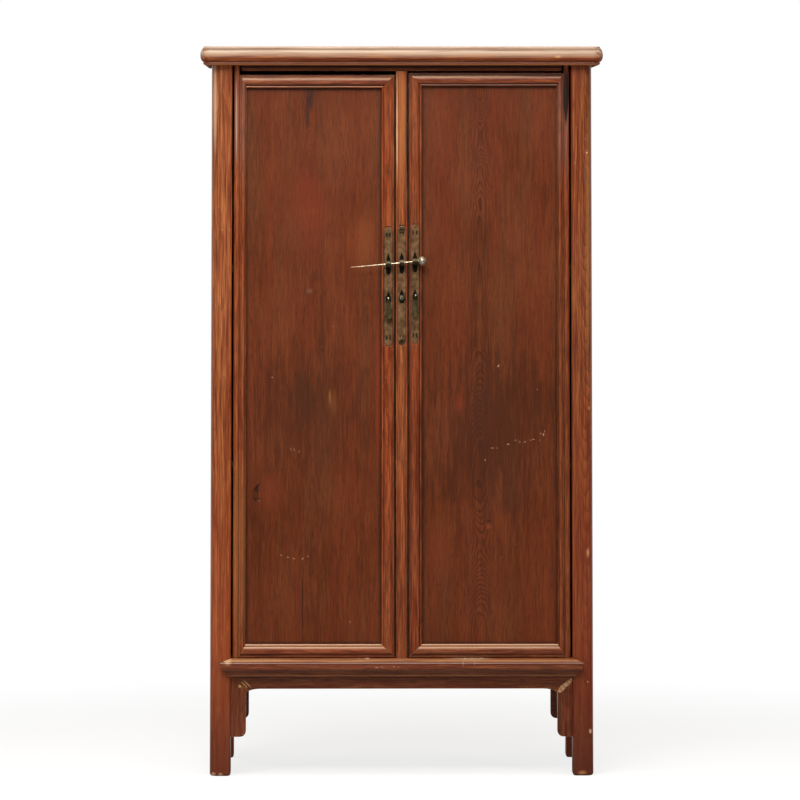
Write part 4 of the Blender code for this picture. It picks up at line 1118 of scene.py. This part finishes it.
class Smoothing:
    """Rounds a CAD node's arrises by a hair and smooths its mouldings, through modifiers."""

    TURN = math.radians(50)
    ARRIS = math.radians(35)
    FLAT = math.radians(0.4)
    JOIN = 0.01 * MM
    WEIGHT = "bevel_weight_edge"

    def __init__(self) -> None:
        """Makes the node groups that all pieces share."""
        self.mark, shape = self._group("mark_proud_arrises")
        turn = add(self.mark, "GeometryNodeInputMeshEdgeAngle", out="Signed Angle")
        proud = add(
            self.mark,
            "FunctionNodeCompare",
            {0: turn, 1: self.ARRIS},
            data_type="FLOAT",
            operation="GREATER_THAN",
        )
        shape = add(
            self.mark,
            "GeometryNodeStoreNamedAttribute",
            {"Geometry": shape, "Name": self.WEIGHT, "Value": proud},
            data_type="FLOAT",
            domain="EDGE",
        )
        add(self.mark, "NodeGroupOutput", {0: shape})
        self.smooth, shape = self._group("smooth_mouldings")
        shape = add(self.smooth, "GeometryNodeSetShadeSmooth", {"Geometry": shape}, domain="FACE")
        turn = add(self.smooth, "GeometryNodeInputMeshEdgeAngle")
        sharp = add(
            self.smooth,
            "FunctionNodeCompare",
            {0: turn, 1: self.TURN},
            data_type="FLOAT",
            operation="GREATER_THAN",
        )
        shape = add(
            self.smooth,
            "GeometryNodeSetShadeSmooth",
            {"Geometry": shape, "Selection": sharp, "Shade Smooth": False},
            domain="EDGE",
        )
        add(self.smooth, "NodeGroupOutput", {0: shape})

    def _group(self, name: str) -> tuple[Tree, Socket]:
        """Makes a node group that takes a shape and gives one back.

        Args:
            name: the group's name.

        Returns:
            The group's tree and the shape that comes in.
        """
        tree = bpy.data.node_groups.new(name, "GeometryNodeTree")
        for way in ("INPUT", "OUTPUT"):
            tree.interface.new_socket("Geometry", in_out=way, socket_type="NodeSocketGeometry")
        return tree, add(tree, "NodeGroupInput")

    def soften(self, piece: bpy.types.Object, width: float, worn_slot: int) -> None:
        """Adds the modifiers to one piece.

        Args:
            piece: the CAD node's object.
            width: how far each arris is eased, in metres.
            worn_slot: the material slot for the eased arrises, or -1.
        """
        weld = piece.modifiers.new("join", "WELD")
        weld.merge_threshold = self.JOIN
        flat = piece.modifiers.new("flat", "DECIMATE")
        flat.decimate_type = "DISSOLVE"
        flat.angle_limit = self.FLAT
        mark = piece.modifiers.new("mark", "NODES")
        mark.node_group = self.mark
        ease = piece.modifiers.new("ease", "BEVEL")
        ease.width = width
        ease.segments = 2
        ease.limit_method = "WEIGHT"
        ease.use_clamp_overlap = True
        ease.material = worn_slot
        smooth = piece.modifiers.new("smooth", "NODES")
        smooth.node_group = self.smooth
        normals = piece.modifiers.new("normals", "WEIGHTED_NORMAL")
        normals.keep_sharp = True


@dataclass
class SubAssembly:
    """A group of pieces that are dressed together.

    Attributes:
        nodes: the CAD nodes by name.
        smoothing: what eases and smooths them.
        made: the finishes' shared materials by name.
    """

    nodes: dict[str, bpy.types.Object]
    smoothing: Smoothing
    made: dict[str, bpy.types.Material] = field(default_factory=dict)

    # How far the arrises of wood and of metal are eased.
    WOOD_EASE = 0.8 * MM
    METAL_EASE = 0.25 * MM

    def wood(self, name: str, finish: Elm, plank: Plank) -> None:
        """Gives a wooden node its finish.

        Args:
            name: the node's name.
            finish: the finish.
            plank: how the piece was cut.
        """
        piece = self.nodes[name]
        if finish.name not in self.made:
            self.made[finish.name] = finish.make_worn()
        piece.data.materials.clear()
        piece.data.materials.append(finish.make(name, plank))
        piece.data.materials.append(self.made[finish.name])
        self.smoothing.soften(piece, self.WOOD_EASE, 1)
        log.info("%s: %s", name, finish.name)

    def metal(self, name: str, finish: Brass, marks: tuple[Mark, ...] = ()) -> None:
        """Gives a metal node its finish.

        Args:
            name: the node's name.
            finish: the finish.
            marks: what time left on it, with painted highlights and painted shade.
        """
        piece = self.nodes[name]
        piece.data.materials.clear()
        piece.data.materials.append(finish.make(name, marks))
        self.smoothing.soften(piece, self.METAL_EASE, -1)
        log.info("%s: %s", name, finish.name)


@dataclass
class Top(SubAssembly):
    """The moulded top: two long rails, two ends, a panel and its batten."""

    def dress(self) -> None:
        """Gives every piece of the top its finish."""
        for name in ("top_front_rail", "top_back_rail"):
            self.wood(name, TOP_ELM, TOP_RAIL)
        for name in ("top_left_end", "top_right_end"):
            self.wood(name, TOP_ELM, replace(TOP_RAIL, grain=Grain.DEEP))
        self.wood("top_panel", PANEL_ELM, Plank(Grain.ACROSS, heart=(0.09, 0.05), dirt_and_shade=0.5, rub=0.3))
        self.wood("top_batten", INSIDE_ELM, Plank(Grain.DEEP))


@dataclass
class Case(SubAssembly):
    """The posts, rails, aprons, panels and shelves."""

    def dress(self) -> None:
        """Gives every piece of the case its finish."""
        self.wood("front_left_post", POST_ELM, LEFT_POST)
        self.wood("front_right_post", RED_POST_ELM, RIGHT_POST)
        for name in ("back_left_post", "back_right_post"):
            self.wood(name, POST_ELM, Plank(Grain.UPRIGHT, (0.005, 0.03), level=0.9, grime=0.75))
        self.wood("centre_post", RED_POST_ELM, CENTRE_POST)
        self.wood("door_head_rail", FRAME_ELM, HEAD_RAIL)
        self.wood("door_sill_rail", FRAME_ELM, SILL)
        self.wood("front_apron", FRAME_ELM, APRON)
        self.wood("back_lower_rail", FRAME_ELM, Plank(Grain.ACROSS))
        self.wood("back_apron", FRAME_ELM, Plank(Grain.ACROSS, level=0.6))
        for side, level in (("left", 0.68), ("right", 0.58)):
            self.wood(f"{side}_lower_rail", FRAME_ELM, Plank(Grain.DEEP, rub=0.4))
            self.wood(f"{side}_apron", FRAME_ELM, Plank(Grain.DEEP, level=0.65))
            self.wood(
                f"front_{side}_spandrel",
                FRAME_ELM,
                Plank(Grain.UPRIGHT, level=level, marks=MITRE_CHIPS),
            )
            self.wood(
                f"{side}_side_panel", PANEL_ELM, Plank(Grain.UPRIGHT, (0.05, 0.02), dirt_and_shade=0.6, flame=0.1)
            )
            self.wood(
                f"back_panel_{side}", PANEL_ELM, Plank(Grain.UPRIGHT, (0.03, 0.05), dirt_and_shade=0.6, flame=0.1)
            )
            for shelf in ("upper", "lower"):
                self.wood(f"{shelf}_{side}_bearer", INSIDE_ELM, Plank(Grain.DEEP))
        self.wood("back_muntin", FRAME_ELM, Plank(Grain.UPRIGHT))
        for name in ("floor_panel", "upper_shelf", "lower_shelf"):
            self.wood(name, INSIDE_ELM, Plank(Grain.ACROSS, (0.04, 0.03)))


@dataclass
class Door(SubAssembly):
    """One door: two stiles, two rails, a panel and its battens.

    Attributes:
        side: left or right.
        figure: how the door's panel was cut.
        outer: how its outer stile was cut.
        meeting: how its meeting stile was cut.
    """

    side: str = "left"
    figure: Plank = LEFT_FIGURE
    outer: Plank = LEFT_OUTER
    meeting: Plank = LEFT_MEETING

    def dress(self) -> None:
        """Gives every piece of the door its finish."""
        self.wood(f"{self.side}_door_outer_stile", FRAME_ELM, self.outer)
        self.wood(f"{self.side}_door_meeting_stile", FRAME_ELM, self.meeting)
        for part, plank in (("top_rail", DOOR_TOP_RAIL), ("bottom_rail", DOOR_BOTTOM_RAIL)):
            self.wood(f"{self.side}_door_{part}", RAIL_ELM, plank)
        for part in ("upper_batten", "lower_batten"):
            self.wood(f"{self.side}_door_{part}", INSIDE_ELM, Plank(Grain.ACROSS))
        self.wood(f"{self.side}_door_panel", PANEL_ELM, self.figure)


@dataclass
class LockSet(SubAssembly):
    """The brass plates, staples, pulls, studs and the lock pin.

    Attributes:
        stud_heights: how high the two flower studs sit on the centre plate, in metres.
        stud_radius: half their width, in metres.
        stud_sheet: how thick their rims are, in metres.
        sunk: how far a stud is pressed into its plate, in metres.
        plate_sheet: how thick the plate is, in metres.
        petals: how many petals a stud has.
        steps: how many corners draw each petal.
        notch: how far the clefts between petals are drawn in, as a share of the radius.
        cleft: half the width of the black in a cleft, in metres.
        curl_inset: how far a curl is from the plate's end, as a share of its half width.
        curl_share: how far a pierced curl is from the plate's middle, as a share of its half width.
        curl_size: half sizes of the painted shade round a curl, in metres.
    """

    stud_heights: tuple[float, float] = (1.109, 1.392)
    stud_radius: float = 8.5 * MM
    stud_sheet: float = 0.9 * MM
    sunk: float = 0.2 * MM
    plate_sheet: float = 1.2 * MM
    petals: int = 8
    steps: int = 6
    notch: float = 0.8
    cleft: float = 0.9 * MM
    curl_inset: float = 2.0
    curl_share: float = 0.38
    curl_size: Point = (2.8 * MM, 20 * MM, 8 * MM)

    # Each ring of the stud's face: how far it is drawn in from the last, and how far it rises.
    RINGS = ((0.90, 0.5), (0.72, 0.6), (0.68, -0.5), (0.80, 0.7), (0.45, 0.4))
    # The cosine, over one petal, below which a corner lies in a cleft.
    CLEFT_FROM = -0.6
    # The forward part of a normal that marks the stud's face.
    FORWARD = -0.9
    CREASE = math.radians(45)

    def dress(self) -> None:
        """Gives every fitting its finish."""
        for side in ("left", "right", "centre"):
            self.metal(f"{side}_faceplate", PLATE_BRASS, self._curls(f"{side}_faceplate"))
            self.metal(f"{side}_staple", FITTING_BRASS)
        for side in ("left", "right"):
            self.metal(f"{side}_pull_eye", FITTING_BRASS, PULL_GLINTS)
            self.metal(f"{side}_pendant", PENDANT_BRASS)
        self.metal("centre_boss", FITTING_BRASS, BOSS_RINGS)
        self.metal("lock_pin", PIN_METAL, PIN_MARKS)

    def _curls(self, plate: str) -> tuple[Mark, ...]:
        """Lays painted shade on a plate round the curls that are pierced near its ends, so that the holes
        read darker.

        Args:
            plate: the plate's name.

        Returns:
            A mark for each curl.
        """
        low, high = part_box(plate)
        middle = (low + high) / 2
        half = (high.x - low.x) / 2
        reach = (high.z - low.z) / 2 - self.curl_inset * half
        return tuple(
            Mark(
                (middle.x + side * self.curl_share * half, middle.y, middle.z + end * reach),
                self.curl_size,
                "#120d07",
                0.75,
                0.4,
            )
            for side in (-1, 1)
            for end in (-1, 1)
        )

    def stud(self) -> None:
        """Rivets a flower stud to each end of the centre plate."""
        low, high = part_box("centre_faceplate")
        for name, height in zip(("lower_flower_stud", "upper_flower_stud"), self.stud_heights):
            share = (height - low.z) / (high.z - low.z)
            front = low.y + share * (high.y - self.plate_sheet - low.y) + self.sunk
            middle = Vector(((low.x + high.x) / 2, front, height))
            self._model_stud(name, middle)

    def _model_stud(self, name: str, middle: Vector) -> None:
        """Models one stud: a disc with notched petals, raised in rings to a knob.

        Args:
            name: the piece's name.
            middle: the middle of its back.
        """
        bpy.ops.object.select_all(action="DESELECT")
        bpy.ops.mesh.primitive_cylinder_add(
            vertices=self.petals * self.steps,
            radius=self.stud_radius,
            depth=self.stud_sheet,
            location=middle - Vector((0, self.stud_sheet / 2, 0)),
            rotation=(math.pi / 2, 0, 0),
        )
        piece = bpy.context.object
        piece.name = name
        bpy.ops.object.transform_apply(location=True, rotation=True, scale=True)
        bpy.ops.object.mode_set(mode="EDIT")
        bpy.ops.mesh.select_mode(type="VERT")
        bpy.ops.mesh.select_all(action="DESELECT")
        shape = bmesh.from_edit_mesh(piece.data)
        for corner in shape.verts:
            angle = math.atan2(corner.co.z - middle.z, corner.co.x - middle.x)
            corner.select = math.cos(self.petals * angle) < self.CLEFT_FROM
        shape.select_flush_mode()
        bmesh.update_edit_mesh(piece.data)
        bpy.ops.transform.resize(value=(self.notch, 1, self.notch), center_override=middle)
        bpy.ops.mesh.select_mode(type="FACE")
        bpy.ops.mesh.select_all(action="DESELECT")
        shape = bmesh.from_edit_mesh(piece.data)
        for face in shape.faces:
            face.select = face.normal.y < self.FORWARD
        shape.select_flush_mode()
        bmesh.update_edit_mesh(piece.data)
        for inward, rise in self.RINGS:
            bpy.ops.mesh.extrude_region_move(TRANSFORM_OT_translate={"value": (0, -rise * MM, 0)})
            bpy.ops.transform.resize(value=(inward, 1, inward), center_override=middle)
        bpy.ops.mesh.select_all(action="SELECT")
        bpy.ops.mesh.normals_make_consistent(inside=False)
        bpy.ops.object.mode_set(mode="OBJECT")
        bpy.ops.object.shade_smooth_by_angle(angle=self.CREASE)
        lines = self.petals // 2
        size = (self.cleft, DEPTH, self.stud_radius)
        clefts = tuple(
            Mark(tuple(middle), size, "#120e09", 0.95, 0.2, math.pi * (line + 0.5) / lines, 0.6)
            for line in range(lines)
        )
        piece.data.materials.append(STUD_BRASS.make("centre_boss", clefts))
        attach(piece, "cabinet")
        log.info("%s: %d faces", name, len(piece.data.polygons))


@dataclass
class Softbox:
    """One studio lamp.

    Attributes:
        name: the lamp's name.
        at: its place, in metres.
        to: the point that it faces.
        size: its width and height, in metres.
        power: its power, in watts.
        mirrored: whether it shows in the lacquer as a highlight.
    """

    name: str
    at: Point
    to: Point
    size: tuple[float, float]
    power: float
    mirrored: bool = True

    def light(self) -> None:
        """Puts the lamp into the scene."""
        data = bpy.data.lights.new(self.name, "AREA")
        data.shape = "RECTANGLE"
        data.size, data.size_y = self.size
        data.energy = self.power
        lamp = bpy.data.objects.new(self.name, data)
        bpy.context.scene.collection.objects.link(lamp)
        lamp.location = self.at
        lamp.visible_glossy = self.mirrored
        facing = Vector(self.to) - Vector(self.at)
        lamp.rotation_euler = facing.to_track_quat("-Z", "Y").to_euler()


@dataclass
class Studio:
    """The floor, the white surround, the softboxes and the camera.

    Attributes:
        eye_height: the camera's height, in metres.
        aside: how far the camera stands to the right of the point that it looks at, in metres.
        aim: the point in the middle of the picture.
        distance: how far the camera stands from it, in metres.
        lens: the focal length, in millimetres.
        floor_reach: half the floor's width, in metres.
    """

    eye_height: float = 1.56
    aside: float = -0.15
    aim: Point = (-0.0043, -0.221, 0.9590)
    distance: float = 13.0
    lens: float = 230.2
    floor_reach: float = 14.0

    LAMPS = (
        Softbox("key", (-0.8, -3.4, 4.2), (0, -0.2, 1.1), (2.2, 1.2), 124),
        Softbox("overhead", (-0.2, -1.15, 3.7), (0, -0.3, 1.0), (2.4, 1.5), 74),
        Softbox("left_strip", (-2.3, -2.2, 0.7), (0, -0.2, 0.5), (0.6, 1.1), 22, False),
        Softbox("right_strip", (2.3, -2.2, 0.7), (0, -0.2, 0.5), (0.6, 1.1), 22, False),
    )
    WHITE = (1, 1, 1, 1)
    # The floor's paint near the cabinet and far from it, and as the wood's diffuse light meets it.
    NEAR_PAINT = "#807e7a"
    FAR_PAINT = "#5c5a57"
    BOUNCE = "#b0aeaa"
    GLOW = 0.78
    # How far from the cabinet the floor starts to turn white, and is white, in metres.
    FADE = (0.8, 2.4)
    # The room's tone, and its strength low down and overhead, each with the height of that direction.
    ROOM = "#f4f1ec"
    ROOM_LOW = (-0.05, 0.06)
    ROOM_HIGH = (0.95, 0.62)
    # Where the backdrop is full behind the cabinet: on the floor, in metres, and as a direction.
    FLOOR_BEHIND = 1.0
    ROOM_BEHIND = 0.3

    def build(self) -> None:
        """Makes the whole studio."""
        self._floor()
        self._surround()
        for lamp in self.LAMPS:
            lamp.light()
        self._camera()
        bpy.context.scene.view_settings.view_transform = "Standard"

    def _floor(self) -> None:
        """Lays the pale floor, which fades to white away from the cabinet."""
        bpy.ops.object.select_all(action="DESELECT")
        bpy.ops.mesh.primitive_plane_add(size=2 * self.floor_reach, location=(0, 0, 0))
        floor = bpy.context.object
        floor.name = "studio_floor"
        material, tree, end = new_material("pale_painted_floor")
        place = add(tree, "TexCoord", out="Object")
        away = add(tree, "VectorMath", {0: place}, out="Value", operation="LENGTH")
        start, full = self.FADE
        far = add(
            tree, "MapRange", {0: away, 1: start, 2: full}, interpolation_type="SMOOTHSTEP"
        )
        behind = add(tree, "SeparateXYZ", {0: place}, out="Y")
        seen = self._seen(tree, add(tree, "MapRange", {0: behind, 1: 0.0, 2: self.FLOOR_BEHIND}))
        tone = add(
            tree,
            "Mix",
            {"Factor": far, 6: linear(self.NEAR_PAINT), 7: linear(self.FAR_PAINT)},
            out=2,
            data_type="RGBA",
        )
        paint = add(tree, "BsdfDiffuse", {"Color": tone})
        glow = add(tree, "Emission", {"Color": self.WHITE, "Strength": self.GLOW})
        lit = add(tree, "AddShader", {0: paint, 1: glow})
        bounce = add(tree, "BsdfDiffuse", {"Color": linear(self.BOUNCE)})
        diffuse = add(tree, "LightPath", out="Is Diffuse Ray")
        unseen = add(tree, "MixShader", {0: diffuse, 1: paint, 2: bounce})
        near = add(tree, "MixShader", {0: seen, 1: unseen, 2: lit})
        white = add(tree, "Emission", {"Color": self.WHITE, "Strength": 1.0})
        fade = add(tree, "Math", {0: seen, 1: far}, operation="MULTIPLY")
        shader = add(tree, "MixShader", {0: fade, 1: near, 2: white})
        tree.links.new(shader, end.inputs["Surface"])
        floor.data.materials.append(material)

    def _seen(self, tree: Tree, behind: Socket) -> Socket:
        """Picks the rays that see the white backdrop.

        Args:
            tree: the floor's or the surround's tree.
            behind: how far a point or a direction lies behind the cabinet, from 0 to 1.

        Returns:
            1 for the camera's rays and those through glass, and for mirrored rays the share behind.
        """
        camera = add(tree, "LightPath", out="Is Camera Ray")
        rays = camera.node.outputs
        seen = add(tree, "Math", {0: rays["Is Glossy Ray"], 1: behind}, operation="MULTIPLY")
        for ray in (camera, rays["Is Transmission Ray"]):
            seen = add(tree, "Math", {0: seen, 1: ray}, operation="MAXIMUM")
        return seen

    def _surround(self) -> None:
        """Lights the room from above and shows it white behind the cabinet."""
        world = bpy.data.worlds.new("white_surround")
        bpy.context.scene.world = world
        world.use_nodes = True
        tree = world.node_tree
        tree.nodes.clear()
        end = tree.nodes.new("ShaderNodeOutputWorld")
        way = add(tree, "SeparateXYZ", {0: add(tree, "TexCoord", out="Generated")}, out="Y")
        seen = self._seen(tree, add(tree, "MapRange", {0: way, 1: 0.0, 2: self.ROOM_BEHIND}))
        height = way.node.outputs["Z"]
        (low, faint), (high, strong) = self.ROOM_LOW, self.ROOM_HIGH
        level = add(tree, "MapRange", {0: height, 1: low, 2: high, 3: faint, 4: strong})
        room = add(tree, "Background", {"Color": linear(self.ROOM), "Strength": level})
        white = add(tree, "Background", {"Color": self.WHITE, "Strength": 1.0})
        shader = add(tree, "MixShader", {0: seen, 1: room, 2: white})
        tree.links.new(shader, end.inputs["Surface"])

    def _camera(self) -> None:
        """Stands the camera in front, above the middle of the cabinet and a little to the left."""
        data = bpy.data.cameras.new("camera")
        data.lens = self.lens
        data.sensor_width = 36.0
        data.clip_end = 100.0
        camera = bpy.data.objects.new("camera", data)
        bpy.context.scene.collection.objects.link(camera)
        aim = Vector(self.aim)
        up = self.eye_height - aim.z
        back = math.sqrt(self.distance**2 - up**2 - self.aside**2)
        camera.location = aim + Vector((self.aside, -back, up))
        camera.rotation_euler = (aim - camera.location).to_track_quat("-Z", "Y").to_euler()
        bpy.context.scene.camera = camera


def main() -> None:
    """Loads the frame, dresses each sub-assembly in order, and builds the studio."""
    logging.basicConfig(level=logging.INFO, format="%(name)s: %(message)s")
    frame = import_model()
    nodes = frame["nodes"]
    smoothing = Smoothing()
    finishes: dict[str, bpy.types.Material] = {}
    Top(nodes, smoothing, finishes).dress()
    Case(nodes, smoothing, finishes).dress()
    Door(nodes, smoothing, finishes, "left", LEFT_FIGURE, LEFT_OUTER, LEFT_MEETING).dress()
    Door(nodes, smoothing, finishes, "right", RIGHT_FIGURE, RIGHT_OUTER, RIGHT_MEETING).dress()
    lock_set = LockSet(nodes, smoothing, finishes)
    lock_set.dress()
    lock_set.stud()
    Studio().build()


if __name__ == "__main__":
    main()
